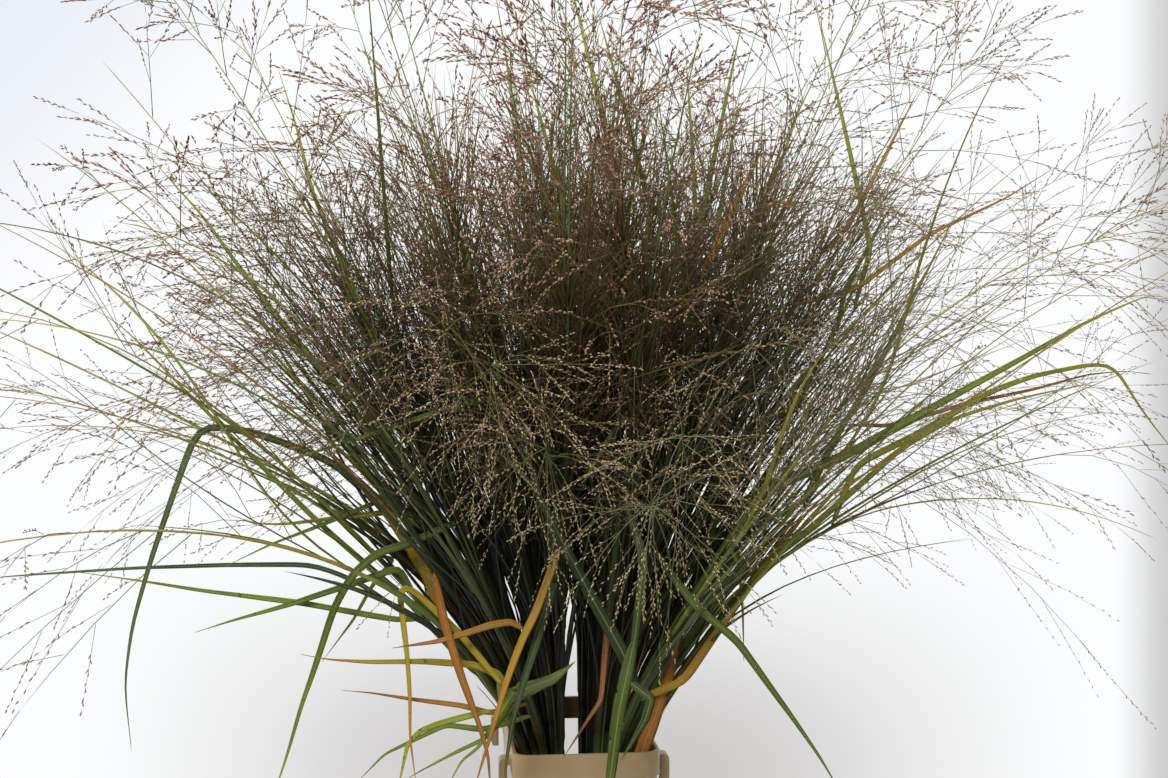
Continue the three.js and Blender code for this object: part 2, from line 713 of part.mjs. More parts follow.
/** The branch as a three-sided thread that swells into its last spikelet. */
function branch(path) {
  const spikeletShare = SPIKELET.length / path.length;
  const shares = [0, path.sunk / path.length, 1 - spikeletShare, 1 - 0.45 * spikeletShare, 1];
  const radii = [0, BRANCH_RADIUS, 0.8 * BRANCH_RADIUS, SPIKELET.radius, 0];
  const rings = shares.map((share, i) => {
    const centre = path.at(share);
    if (radii[i] === 0) return [centre];
    const forward = path.at(share + 0.01).sub(path.at(share - 0.01)).normalize();
    const across = forward.clone().cross(UP).normalize();
    const over = across.clone().cross(forward);
    return [0, 1, 2].map((k) => {
      const angle = (k / 3) * 360 * DEGREE;
      return centre
        .clone()
        .addScaledVector(over, radii[i] * Math.cos(angle))
        .addScaledVector(across, radii[i] * Math.sin(angle));
    });
  });
  return skin(rings);
}

// ---------------------------------------------------------------- assembly

const PLASTIC = new THREE.MeshStandardMaterial({ color: 0xe8dcc4, roughness: 0.5 });
const WATER = new THREE.MeshStandardMaterial({
  color: 0xcfe0e2,
  roughness: 0.05,
  transparent: true,
  opacity: 0.4,
});
const GRASS = new THREE.MeshStandardMaterial({ color: 0x4d5f3a, roughness: 0.6 });

const group = new THREE.Group();
group.add(meshOf("holder", makeHolder(), PLASTIC));

const stems = [];
for (const [bunch, columns] of Object.entries(COLUMNS)) {
  for (let c = 0; c < columns.length; c++) {
    for (let row = 0; row < ROWS; row++) {
      const seed = stems.length + 1;
      const stem = STEM_TURNS.map((turn) => {
        const tried = stemTry(bunch, columns, c, row, seed, turn);
        tried.line = middleLine(tried);
        return tried;
      }).find((tried) => !metBy(tried.name, stemBalls(tried), CLEARANCE));
      if (!stem) continue;
      take(stem.name, stemBalls(stem));
      stem.parts = [culm(stem)];
      stems.push(stem);
    }
  }
}

/** Grows a blade on a stem if it is clear of the others. Returns whether it is. */
function growBlade(stem, blade) {
  const balls = bladeBalls(blade);
  if (metBy(stem.name, balls, CLEARANCE)) return false;
  take(stem.name, balls);
  stem.parts.push(skin(bladeRings(blade, blade.shares)));
  return true;
}

/** Grows a branch on a stem if it is clear of the others. Returns whether it is. */
function growBranch(stem, path) {
  const balls = ballsAlong(path.at, path.length, () => BRANCH_RADIUS + 0.2);
  if (metBy(stem.name, balls, CLEARANCE + 0.1)) return false;
  take(stem.name, balls);
  stem.parts.push(branch(path));
  return true;
}

for (const shown of SHOWN_BLADES) {
  const roots = rootsOf(shown);
  SHIFTS.some((shift) =>
    roots.some(({ stem, along }) => growBlade(stem, shownBlade(shown, stem, along, shift))),
  );
}

for (const stem of stems) {
  const count = draw(stem.seed, 6) < SECOND_BLADES ? 2 : 1;
  for (let number = 0; number < count; number++) {
    TURNS.some((turn) => growBlade(stem, commonBlade(stem, number, turn)));
  }
}

for (let number = 0; number < BRANCHES; number++) {
  for (const stem of stems) {
    SHORTER.some((shorten) =>
      TURNS.some((turn) => growBranch(stem, branchPath(stem, number, turn, shorten))),
    );
  }
}

/** Water round the stems' cut ends, with a plain square hole for each bunch. */
function makeWater() {
  const { insideFoot, insideTop, floor, height, corner } = HOLDER;
  const top = floor + WATER_DEPTH;
  const share = (top - floor) / (height - floor);
  const half = (at) => ({
    x: between(insideFoot.x, insideTop.x, at) - GAP,
    y: between(insideFoot.y, insideTop.y, at) - GAP,
  });
  let water = skin([
    roundedRing(half(0), corner - 3, floor + GAP),
    roundedRing(half(share), corner - 2.7, top),
  ]);
  for (const bunch of Object.keys(COLUMNS)) {
    const feet = stems.filter(({ name }) => name.includes(bunch)).map(({ line }) => line[0].point);
    const box = new THREE.Box3().setFromPoints(feet).expandByScalar(CULM_RADII[0][1] + 0.6);
    const size = box.getSize(new THREE.Vector3());
    const hole = new THREE.BoxGeometry(size.x, size.y, 3 * WATER_DEPTH);
    const middle = box.getCenter(new THREE.Vector3());
    water = water.subtract(solidOf(hole.translate(middle.x, middle.y, 0)));
  }
  return water;
}
group.add(meshOf("water", makeWater(), WATER));

for (const stem of stems) {
  const solid = stem.parts.reduce((whole, piece) => whole.add(piece));
  group.add(meshOf(stem.name, solid, GRASS));
}

export default group;
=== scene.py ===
import math
from types import SimpleNamespace

import bmesh
import bpy
import numpy as np
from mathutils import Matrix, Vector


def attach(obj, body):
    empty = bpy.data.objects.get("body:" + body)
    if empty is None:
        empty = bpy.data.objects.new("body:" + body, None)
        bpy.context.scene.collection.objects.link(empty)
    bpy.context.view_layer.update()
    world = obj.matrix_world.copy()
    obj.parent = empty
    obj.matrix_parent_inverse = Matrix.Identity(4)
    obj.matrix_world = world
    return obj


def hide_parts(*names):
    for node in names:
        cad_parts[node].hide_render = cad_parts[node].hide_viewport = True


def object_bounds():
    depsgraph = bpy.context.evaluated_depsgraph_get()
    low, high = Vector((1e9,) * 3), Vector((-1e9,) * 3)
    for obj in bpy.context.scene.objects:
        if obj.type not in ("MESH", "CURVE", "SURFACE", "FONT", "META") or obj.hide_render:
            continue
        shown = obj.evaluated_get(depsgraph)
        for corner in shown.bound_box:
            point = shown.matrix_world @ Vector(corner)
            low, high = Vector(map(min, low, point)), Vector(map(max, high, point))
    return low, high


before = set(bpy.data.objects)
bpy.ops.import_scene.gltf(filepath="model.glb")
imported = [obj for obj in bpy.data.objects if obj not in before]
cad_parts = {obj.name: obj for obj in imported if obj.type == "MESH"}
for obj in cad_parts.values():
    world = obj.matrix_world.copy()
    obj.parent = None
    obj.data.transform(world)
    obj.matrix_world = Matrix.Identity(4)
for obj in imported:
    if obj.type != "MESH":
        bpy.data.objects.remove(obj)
cad_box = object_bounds()

# ---------------------------------------------------------------- studio
# A pale table top that runs out into a white sweep, seen with painted shade on it. The light is broad
# and soft:
# most of it comes from the sweep and from above, and only a weak fill reaches the side that faces the
# camera.

MM = 0.001
SWEEP = SimpleNamespace(radius=0.9, z=-0.0005, solid=0.45, faded=0.85)
WORLD_LIGHT = SimpleNamespace(front=0.055, back=0.80, top=0.26)
LENS = SimpleNamespace(sensor=36.0, width=1168, focal=1500, dip=34, place=(0.0075, -1.25, 0.608))
BEST_SIDE = math.radians(-6)  # the bunch's best side is turned this far from the holder's front
ALONG_SIDE = np.array([math.cos(BEST_SIDE), math.sin(BEST_SIDE), 0.0])
BEHIND = np.array([-math.sin(BEST_SIDE), math.cos(BEST_SIDE), 0.0])
UP = np.array([0.0, 0.0, 1.0])


def srgb(*channels):
    """An sRGB colour as linear light: each channel by the standard's power curve."""
    curve = [c / 12.92 if c <= 0.04045 else ((c + 0.055) / 1.055) ** 2.4 for c in channels]
    return (*curve, 1.0)


class Wire:
    """A node's output socket. Sums and products of wires and numbers add Math nodes."""

    def __init__(self, tree, socket):
        self.tree = tree
        self.socket = socket

    def math(self, operation, *values):
        return add_node(self.tree, "Math", dict(enumerate(values)), {"operation": operation})

    def __add__(self, other):
        return self.math("ADD", self, other)

    def __radd__(self, other):
        return self.math("ADD", other, self)

    def __sub__(self, other):
        return self.math("SUBTRACT", self, other)

    def __rsub__(self, other):
        return self.math("SUBTRACT", other, self)

    def __mul__(self, other):
        return self.math("MULTIPLY", self, other)

    def __rmul__(self, other):
        return self.math("MULTIPLY", other, self)

    def __truediv__(self, other):
        return self.math("DIVIDE", self, other)

    def __pow__(self, other):
        return self.math("POWER", self, other)

    def size(self):
        return self.math("ABSOLUTE", self)

    def sine(self):
        return self.math("SINE", self)

    def within(self, low, high):
        """0 below low, 1 above high and a smooth rise between."""
        smooth = {"interpolation_type": "SMOOTHSTEP"}
        return add_node(self.tree, "MapRange", {0: self, 1: low, 2: high}, smooth)


def add_node(tree, kind, sockets=None, settings=None, output=0):
    """One shader node: its settings first, of which a ramp's stops are one, then its sockets'
    values or wires. Returns the wire of one output, if it has any."""
    node = tree.nodes.new("ShaderNode" + kind)
    for name, value in (settings or {}).items():
        if name == "stops":
            ramp = node.color_ramp
            while len(ramp.elements) < len(value):
                ramp.elements.new(1.0)
            for element, (place, colour) in zip(ramp.elements, value):
                element.position = place
                element.color = colour
        else:
            setattr(node, name, value)
    for name, value in (sockets or {}).items():
        if isinstance(value, Wire):
            tree.links.new(value.socket, node.inputs[name])
        else:
            node.inputs[name].default_value = value
    return Wire(tree, node.outputs[output]) if node.outputs else None


def mix(share, first, second):
    """Two colours mixed by a share, which is a wire."""
    return add_node(share.tree, "Mix", {0: share, 6: first, 7: second}, {"data_type": "RGBA"}, 2)


def noise(place, scale, detail, rough=0.5):
    """Soft noise over a place."""
    sockets = {"Vector": place, "Scale": scale, "Detail": detail, "Roughness": rough}
    return add_node(place.tree, "TexNoise", sockets)


def parts_of(place):
    """The three wires of a place's x, y and z."""
    node = add_node(place.tree, "SeparateXYZ", {0: place}).socket.node
    return [Wire(place.tree, part) for part in node.outputs]


def make_finish(name, paint, *values):
    """A material. paint gets the wire of the place on the object and gives the shader's sockets."""
    material = bpy.data.materials.new(name)
    material.use_nodes = True
    tree = material.node_tree
    tree.nodes.clear()
    place = add_node(tree, "TexCoord", output="Object")
    shader = add_node(tree, "BsdfPrincipled", paint(place, *values))
    add_node(tree, "OutputMaterial", {"Surface": shader})
    return material


def paint_board(place):
    """Pale matt board that fades out with its distance from the middle."""
    far = add_node(place.tree, "VectorMath", {0: place}, {"operation": "LENGTH"}, 1)
    share = noise(place, 9.0, 3.0).within(0.3, 0.7)
    return {
        "Base Color": mix(share, srgb(0.91, 0.91, 0.90), srgb(0.94, 0.94, 0.935)),
        "Roughness": 0.7,
        "Alpha": 1.0 - far.within(SWEEP.solid, SWEEP.faded),
    }


def add_object(name, data):
    """Data as an object of the scene, at the origin."""
    made = bpy.data.objects.new(name, data)
    bpy.context.scene.collection.objects.link(made)
    return made


def make_mesh(name, points, faces, materials):
    """A mesh object from an array of points and an array of triangles or quads."""
    mesh = bpy.data.meshes.new(name)
    mesh.vertices.add(len(points))
    mesh.vertices.foreach_set("co", np.asarray(points, np.float32).ravel())
    mesh.loops.add(faces.size)
    mesh.loops.foreach_set("vertex_index", faces.astype(np.int32).ravel())
    mesh.polygons.add(len(faces))
    starts = np.arange(len(faces), dtype=np.int32) * faces.shape[1]
    mesh.polygons.foreach_set("loop_start", starts)
    mesh.polygons.foreach_set("use_smooth", np.ones(len(faces), bool))
    for material in materials:
        mesh.materials.append(material)
    mesh.update(calc_edges=True)
    return add_object(name, mesh)


def make_world():
    """White all round. Seen, it is near white, and straight behind the best side it has painted shade,
    greyer low down in the middle and at the right, and a painted tint of cool light, bluer at the
    upper left. As light it is strong from behind and above and weak from the front: a smooth rise
    with the direction's parts."""
    world = bpy.data.worlds.new("white_sweep")
    world.use_nodes = True
    tree = world.node_tree
    tree.nodes.clear()
    x, y, z = parts_of(add_node(tree, "TexCoord", output="Generated"))
    depth = x * BEHIND[0] + y * BEHIND[1]
    across = (x * ALONG_SIDE[0] + y * ALONG_SIDE[1]) / depth.size()
    height = z / depth.size()
    ahead = depth.within(0.75, 0.88)
    low = (1.0 - height.within(-0.28, -0.10)) * (1.0 - across.size().within(0.05, 0.36)) * ahead
    # What the camera sees of the sweep: painted shade greyer low down in the middle, a band of painted
    # shade at the right, and a painted tint of cool light at the upper left.
    seen = mix(low, srgb(0.985, 0.99, 0.995), srgb(0.80, 0.79, 0.785))
    seen = mix(across.within(0.352, 0.395) * ahead, seen, srgb(0.80, 0.80, 0.80))
    seen = mix((height - across).within(0.38, 0.62) * ahead, seen, srgb(0.915, 0.935, 0.965))
    strength = WORLD_LIGHT.front + depth.within(-0.5, 0.7) * WORLD_LIGHT.back
    strength = strength + z.within(-0.1, 0.9) * WORLD_LIGHT.top
    lit = add_node(tree, "Background", {"Color": (1, 1, 1, 1), "Strength": strength})
    shown = add_node(tree, "Background", {"Color": seen})
    camera_ray = add_node(tree, "LightPath", output="Is Camera Ray")
    both = add_node(tree, "MixShader", {0: camera_ray, 1: lit, 2: shown})
    add_node(tree, "OutputWorld", {"Surface": both})
    bpy.context.scene.world = world


def best_side_place(across, depth, height):
    """Places from their parts along the best side's own axes."""
    parts = ((across, ALONG_SIDE), (depth, BEHIND), (height, UP))
    return sum(np.multiply.outer(part, axis) for part, axis in parts)


def add_panel(name, place, target, size, power):
    """A soft light panel turned to face a point."""
    lamp = bpy.data.lights.new(name, "AREA")
    lamp.shape = "RECTANGLE"
    lamp.size, lamp.size_y = size
    lamp.energy = power
    panel = add_object(name, lamp)
    panel.location = place
    x, y, z = np.subtract(target, place)
    panel.rotation_euler = (math.atan2(math.hypot(x, y), -z), 0, math.atan2(-x, y))


def add_camera():
    """A 46 mm lens at half the bunch's height, which dips a little below level. Its focal length,
    width and dip are given in dots of a frame, of which the sensor holds one width."""
    lens = bpy.data.cameras.new("camera")
    lens.sensor_width = LENS.sensor
    lens.lens = LENS.sensor * LENS.focal / LENS.width
    lens.clip_end = 50
    camera = add_object("camera", lens)
    camera.location = best_side_place(*LENS.place)
    camera.rotation_euler = (math.pi / 2 - math.atan2(LENS.dip, LENS.focal), 0, BEST_SIDE)
    bpy.context.scene.camera = camera


def make_table():
    """One square, wide enough for the finish to fade out on it."""
    corners = np.array([[-1, -1, 0], [1, -1, 0], [1, 1, 0], [-1, 1, 0]]) * SWEEP.radius
    board = make_finish("table_board", paint_board)
    return make_mesh("table_top", corners + SWEEP.z * UP, np.array([[0, 1, 2, 3]]), [board])


make_table()
make_world()
add_panel("key_panel", best_side_place(-0.35, -1.3, 1.3), (0, -0.2, 0.55), (0.5, 0.4), 19)
add_panel("side_panel", best_side_place(-2.0, 0.3, 1.2), (0, 0, 0.6), (0.8, 1.4), 14)
add_camera()
bpy.context.scene.view_settings.view_transform = "Standard"

# ---------------------------------------------------------------- holder
# A slim tapered bucket of cream plastic, injection moulded in one piece with its rim band and
# its four hooks. A hand slot is left in each end wall. Sizes are in millimetres.

BUCKET = SimpleNamespace(height=300, band=20, floor=3.5, corner=12)
FOOT, WALL_TOP, BAND = np.array([[49, 90], [56, 98], [58, 100]])  # half sizes
INSIDE_FOOT, INSIDE_TOP = np.array([[45.5, 86.5], [54.2, 96.2]])
SLIT = 1.5  # half width of the slit that is left of the narrowest ring
SLOT = SimpleNamespace(width=76, height=36, corner=10, top=280.5, reach=130)
HOOK = SimpleNamespace(out=9.5, gap=3, length=14, drop=26, below=8, y=70)
SOFT_EDGE = SimpleNamespace(width=0.7 * MM, sharper=math.radians(50), kept=math.radians(35))


def between(low, high, share):
    """The value at a share of the way from low to high."""
    return low + (high - low) * share


def rounded_ring(half, corner, z, steps=8):
    """Points round a rectangle with round corners: each corner is an arc of equal steps."""
    quarter = np.repeat(np.arange(4), steps + 1)
    angle = (quarter + np.tile(np.linspace(0, 1, steps + 1), 4)) * np.pi / 2
    sign_x = np.where((quarter == 0) | (quarter == 3), 1, -1)
    sign_y = np.where(quarter < 2, 1, -1)
    x = sign_x * (half[0] - corner) + corner * np.cos(angle)
    y = sign_y * (half[1] - corner) + corner * np.sin(angle)
    return np.stack([x, y, np.full_like(x, z)], -1)


def settle_normals(made):
    """Turns every face outwards, after doubles are merged."""
    work = bmesh.new()
    work.from_mesh(made.data)
    bmesh.ops.remove_doubles(work, verts=work.verts, dist=1e-6)
    bmesh.ops.recalc_face_normals(work, faces=work.faces)
    work.to_mesh(made.data)
    work.free()


def closed_skin(name, rings, finish):
    """A closed body: quads between neighbouring rings, and quads across the first and the last
    ring, which join its mirrored halves."""
    count, last = len(rings[0]), len(rings) - 1
    ring, spot = np.meshgrid(np.arange(last), np.arange(count), indexing="ij")
    here = ring * count + spot
    after = ring * count + (spot + 1) % count
    walls = np.stack([here, after, after + count, here + count], -1).reshape(-1, 4)
    i = np.arange(count // 2 - 1)
    cap = np.stack([i, i + 1, count - 2 - i, count - 1 - i], -1)
    faces = np.concatenate([walls, cap[:, ::-1], cap + last * count])
    made = make_mesh(name, np.concatenate(rings) * MM, faces, [finish])
    settle_normals(made)
    return made


def make_block(outline, ends, finish):
    """An outline of x and z pushed along y: two caps and a wall of quads between them."""
    count = len(outline)
    points = np.array([(x, y, z) for y in ends for x, z in outline]) * MM
    walls = [[i, (i + 1) % count, count + (i + 1) % count, count + i] for i in range(count)]
    caps = [list(range(count))[::-1], list(range(count, 2 * count))]
    mesh = bpy.data.meshes.new("block")
    mesh.from_pydata(points.tolist(), [], walls + caps)
    mesh.materials.append(finish)
    block = add_object("block", mesh)
    settle_normals(block)
    return block


def shell_profile():
    """The bucket's section as rings, each with its half sizes, corner and height: up the outside
    by even shares of the wall, over the rim and down the inside."""
    height, floor, corner = BUCKET.height, BUCKET.floor, BUCKET.corner
    band_foot = height - BUCKET.band
    rings = [((SLIT, FOOT[1] - 47), 1.0, 0.0)]
    rings += [(FOOT - 1.5 - inset, corner - 1.5, 0.0) for inset in (20, 6, 0)]
    rings += [(FOOT - 0.5, corner - 0.5, 0.5), (FOOT, corner, 2.0)]
    for share in np.linspace(0.1, 1, 10):
        rings.append((between(FOOT, WALL_TOP, share), corner, between(2, band_foot, share)))
    rim = [
        (1.2, 0, band_foot),
        (0, 1, band_foot + 0.8),
        (0, 1, height - BUCKET.band / 2),
        (0, 1, height - 1.0),
        (0.3, 0.7, height - 0.3),
        (1.0, 0, height),
        (2.8, -1.2, height),
        (3.5, -1.8, height - 0.4),
    ]
    rings += [(BAND - inset, corner + rounder, z) for inset, rounder, z in rim]
    for share in np.linspace(1, 0, 10):
        z = between(floor + 1, height - 2, share)
        rings.append((between(INSIDE_FOOT, INSIDE_TOP, share), corner - 3 + share, z))
    rings += [(INSIDE_FOOT - 1 - inset, corner - 4, floor) for inset in (0, 6, 20)]
    return rings + [((SLIT, INSIDE_FOOT[1] - 44), 1.0, floor)]


def bump(height, strength, distance):
    """A slight relief by a height, which is a wire."""
    sockets = {"Strength": strength, "Distance": distance, "Height": height}
    return add_node(height.tree, "Bump", sockets)


def paint_plastic(place):
    """Cream polypropylene, its colour darkened all over as painted shade: faint flow marks, fine grain,
    and scuffs and water marks low down.
    """
    stretched = add_node(place.tree, "Mapping", {"Vector": place, "Scale": (1, 1, 0.12)})
    cloud = noise(place, 14.0, 4.0)
    flow = noise(stretched, 60.0, 3.0)
    grain = noise(place, 900.0, 2.0)
    low = 1.0 - parts_of(place)[2].within(0.0, 0.09)
    worn = (noise(place, 55.0, 6.0) + low * 0.10).within(0.66, 0.78)
    # Both base colours are darker than the cream plastic itself: painted shade, for the bucket's front,
    # which stands in shade.
    colour = mix(cloud.within(0.3, 0.7), srgb(0.64, 0.54, 0.39), srgb(0.68, 0.58, 0.43))
    colour = mix(flow.within(0.35, 0.75) * 0.15, colour, srgb(0.60, 0.50, 0.36))
    return {
        "Base Color": mix(worn * 0.4, colour, srgb(0.48, 0.40, 0.28)),
        "Roughness": 0.30 + cloud * 0.1 + worn * 0.25,
        "Normal": bump(grain * 0.4 + flow * 0.3 + worn * 0.3, 0.12, 0.001),
    }


def make_holder(plastic):
    """The bucket's rings skinned, the hooks joined on, the slots cut through and all sharp edges
    softened."""
    holder = closed_skin("cream_bucket", [rounded_ring(*ring) for ring in shell_profile()], plastic)
    wall, top = BAND[0] - 1.5, BUCKET.height - HOOK.below
    inner, outer, foot = BAND[0] + HOOK.gap, BAND[0] + HOOK.out, top - HOOK.drop
    upper = [(outer, top - 3.5), (outer - 1.0, top - 1.0), (outer - 3.5, top), (wall, top)]
    lower = [(wall, top - 5), (inner - 1, top - 5), (inner, top - 6), (inner, foot)]
    hook = np.array(lower + [(outer - 1.5, foot), (outer, foot + 4)] + upper)
    tools = []
    for side in (-1, 1):
        for y in (-HOOK.y, HOOK.y):
            ends = (y - HOOK.length / 2, y + HOOK.length / 2)
            tools.append((make_block(hook * (side, 1), ends, plastic), "UNION"))
    slot = rounded_ring((SLOT.width / 2, SLOT.height / 2), SLOT.corner, 0)[:, :2]
    slot = slot + (0, SLOT.top - SLOT.height / 2)
    tools.append((make_block(slot, (-SLOT.reach, SLOT.reach), plastic), "DIFFERENCE"))
    for tool, operation in tools:
        cut = holder.modifiers.new("join", "BOOLEAN")
        cut.object, cut.operation, cut.solver = tool, operation, "EXACT"
    edge = holder.modifiers.new("soft_edges", "BEVEL")
    edge.width, edge.segments, edge.limit_method = SOFT_EDGE.width, 2, "ANGLE"
    edge.angle_limit = SOFT_EDGE.sharper
    graph = bpy.context.evaluated_depsgraph_get()
    mesh = bpy.data.meshes.new_from_object(holder.evaluated_get(graph))
    holder.modifiers.clear()
    holder.data = mesh
    for tool, _ in tools:
        bpy.data.objects.remove(tool)
    mesh.polygons.foreach_set("use_smooth", np.ones(len(mesh.polygons), bool))
    mesh.set_sharp_from_angle(angle=SOFT_EDGE.kept)
    return holder


holder = make_holder(make_finish("cream_plastic", paint_plastic))
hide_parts("holder")
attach(holder, "root")

# ---------------------------------------------------------------- water
# The water that the cut stems drink, a hand's width deep. It fills the bucket's foot, and its top
# dips and rises a little in a low wave.

WATER = SimpleNamespace(depth=85, gap=0.3, ripple=0.5)


def paint_water(place):
    """Clear water, faintly green from the sap."""
    swirl = noise(place, 30.0, 3.0)
    return {
        "Base Color": mix(swirl.within(0.3, 0.7), srgb(0.78, 0.85, 0.80), srgb(0.86, 0.90, 0.86)),
        "Roughness": 0.04,
        "IOR": 1.33,
        "Transmission Weight": 0.85,
        "Normal": bump(swirl, 0.2, 0.002),
    }


def make_water(finish):
    """Rings up the bucket's wall, then inwards over the top, which a low wave lifts and lowers:
    a sine across times a cosine along."""
    low, top, corner = BUCKET.floor + WATER.gap, BUCKET.floor + WATER.depth, BUCKET.corner
    foot = INSIDE_FOOT - WATER.gap - 1
    share = WATER.depth / (BUCKET.height - BUCKET.floor)
    edge = between(INSIDE_FOOT, INSIDE_TOP, share) - WATER.gap
    profile = [((SLIT, foot[1] - 44), 1.0, low)]
    profile += [(foot - inset, corner - 4, low) for inset in (20, 6, 0)]
    profile += [(edge, corner - 2.7, top - 0.6), (edge - 0.4, corner - 3, top - 0.1)]
    profile += [(edge - inset, corner - 3.5, top - 0.8) for inset in (2, 4, 7, 11, 16, 22, 30, 38)]
    profile.append(((SLIT, edge[1] - 45), 1.0, top - 0.8))
    rings = [rounded_ring(*ring) for ring in profile]
    for ring in rings[6:]:
        ring[:, 2] += WATER.ripple * np.sin(ring[:, 0] / 6) * np.cos(ring[:, 1] / 8)
    return closed_skin("vase_water", rings, finish)


water = make_water(make_finish("stem_water", paint_water))
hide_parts("water")
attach(water, "root")

# ---------------------------------------------------------------- stems
# Fifty cut stems of switchgrass, each grown as one: a round culm in its leaf sheaths, long
# ribbed blades, and an open panicle on hair-fine branches. They stand in two bunches that lean
# on the bucket's rim and fan out over it. Sizes are in millimetres, from the rim along the stem.

COLUMNS = {"left": [-14, -22.5, -31, -40, -49], "right": [8, 18, 28, 38, 48]}
ROWS, ROW_SPACING = 5, 35
WEEPING_ROWS = {"left": [0, 2, 3], "right": [1, 4]}
LEAN = SimpleNamespace(gap=0.03, side=1.28, end=1.2005, most=1.42, crowd=1.3, outer=0.95, extra=0.35)
STEM_LENGTH = SimpleNamespace(usual=680, shorter=60)
BEND = SimpleNamespace(start=80, rim=0.28, over=0.36, within=60, further=0.00035)
DROOP = SimpleNamespace(start=0.42, power=2, weeping_start=100, weeping_power=0.75)
STAGGER, GOLDEN = 5, 0.382  # how far stems stand out of line, and its share from row to row
PARTING = 3.5  # the two inmost columns stand this much further apart, up to a hand above the rim
COARSE_CUTS = [-80, 0, 50, 130, 240, 370]
SIDE_TURNS = (0, 1, -1, 2, -2, 3, -3, 4, -4)


def draw(seed, purpose):
    """A repeatable draw from 0 to 1: the fraction of a large sine of the seed and the purpose."""
    value = math.sin(seed * 12.9898 + purpose * 78.233) * 43758.5453
    return value - math.floor(value)


def drawn(low, high, seed, purpose, power=1.0):
    """A value from low to high by a draw to a power."""
    return between(low, high, draw(seed, purpose) ** power)


def unit(vectors):
    return vectors / np.linalg.norm(vectors, axis=-1, keepdims=True)


def flat_way(azimuth):
    return np.array([math.cos(azimuth), math.sin(azimuth), 0.0])


def tilt_at(stem, along):
    """Angle from upright: the lean's slope, which starts in the bucket and grows over the rim,
    and past the droop's start the droop times the share of the way to the tip, to a power."""
    along = np.asarray(along, float)
    grown = BEND.over * (1 - np.exp(-np.maximum(along, 0) / BEND.within))
    over = BEND.rim + grown + BEND.further * along
    slope = np.where(along < 0, BEND.rim * np.maximum(0, 1 + along / BEND.start), over)
    start = DROOP.weeping_start if stem.weeps else DROOP.start * stem.length
    hanging = np.maximum(0, along - start) / (stem.length - start)
    power = DROOP.weeping_power if stem.weeps else DROOP.power
    return np.arctan(stem.lean * slope) + stem.droop * hanging**power


def middle_line(stem):
    """Distances and points every 5 mm: from the rim, each step goes the way the tilt says."""
    rim = np.array([stem.x, stem.y, BUCKET.height])

    def walk(cuts):
        steps = np.diff(cuts)
        tilt = tilt_at(stem, cuts[:-1] + steps / 2)
        out = np.outer(steps * np.sin(tilt), flat_way(stem.azimuth))
        return rim + np.cumsum(out + np.outer(steps * np.cos(tilt), UP), axis=0)

    down = -np.arange(0.0, BEND.start + 0.1, 5)
    up = np.append(np.arange(0.0, stem.length - 1, 5), stem.length)
    below = walk(down)[::-1]
    foot_z = BUCKET.floor + 0.3
    foot = np.array([[below[0][0], below[0][1], foot_z]])
    foot_along = -BEND.start - (below[0][2] - foot_z)
    along = np.concatenate([[foot_along], down[:0:-1], [0.0], up[1:]])
    return along, np.concatenate([foot, below, [rim], walk(up)])


def place_on(along, points, where):
    """The points at given distances along a line, by straight interpolation."""
    where = np.atleast_1d(where)
    return np.stack([np.interp(where, along, points[:, k]) for k in range(3)], -1)


def on_stem(stem, where):
    return place_on(stem.along, stem.line, where)


def axes_at(stem, along):
    """Unit vectors along the stem, out from the bunch and across, at distances along it."""
    tilt = np.atleast_1d(tilt_at(stem, along))
    c, s = math.cos(stem.azimuth), math.sin(stem.azimuth)
    forward = np.stack([c * np.sin(tilt), s * np.sin(tilt), np.cos(tilt)], -1)
    out = np.stack([c * np.cos(tilt), s * np.cos(tilt), -np.sin(tilt)], -1)
    return forward, out, np.broadcast_to([-s, c, 0.0], forward.shape)


def node_points(name):
    """The CAD node's corners in millimetres."""
    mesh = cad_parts[name].data
    points = np.empty(len(mesh.vertices) * 3, np.float32)
    mesh.vertices.foreach_get("co", points)
    return points.reshape(-1, 3) / MM


def off_by(stem, place):
    """How far the CAD stem's nearest corner is from a place."""
    return float(np.linalg.norm(stem.corners - place, axis=1).min())


def stem_try(bunch, c, row, seed, turn):
    """One stem's place at the rim and its way out, turned aside by a few degrees at each try. It
    leans the more the further it stands from the bunch's inner edge and from the middle row."""
    columns = COLUMNS[bunch]
    side = np.sign(columns[c])
    stagger = ((row * GOLDEN + c / 2) % 1 - 0.5) * STAGGER
    row_place = row - (ROWS - 1) / 2 + (0.2 if c % 2 else -0.2)
    y = row_place * ROW_SPACING + drawn(-3, 3, seed, 1)
    x = columns[c] - side * max(0, stagger * c / 4) + (stagger * 0.5 if c < 4 else 0)
    share = abs((x - columns[0]) / (columns[-1] - columns[0]))
    lean_x = side * between(LEAN.gap, LEAN.side, share)
    lean_y = y / WALL_TOP[1] * LEAN.end
    raw = math.hypot(lean_x, lean_y)
    outer = raw > LEAN.outer
    lean = LEAN.most * math.tanh(raw / LEAN.crowd)
    lean *= 1 + LEAN.extra * draw(seed, 3) ** 1.4 if outer else 1
    weeps = c == 4 and row in WEEPING_ROWS[bunch]
    droop = drawn(8, 60, seed, 4, 1.3) if outer else drawn(0, 14, seed, 4)
    droop = drawn(48, 62, seed, 7) if weeps else droop
    shorter = STEM_LENGTH.shorter * min(LEAN.crowd, lean)
    return SimpleNamespace(
        seed=seed,
        name=f"leafy_stem_{bunch}_{c * ROWS + row + 1:02d}",
        raw=raw,
        x=x,
        y=y,
        azimuth=math.atan2(lean_y, lean_x) + math.radians(4 * turn),
        lean=lean * (1 - 0.02 * abs(turn)),
        droop=math.radians(droop),
        weeps=weeps,
        length=STEM_LENGTH.usual - shorter + drawn(-40, 30, seed, 5),
        blades=[],
        heads=[],
    )


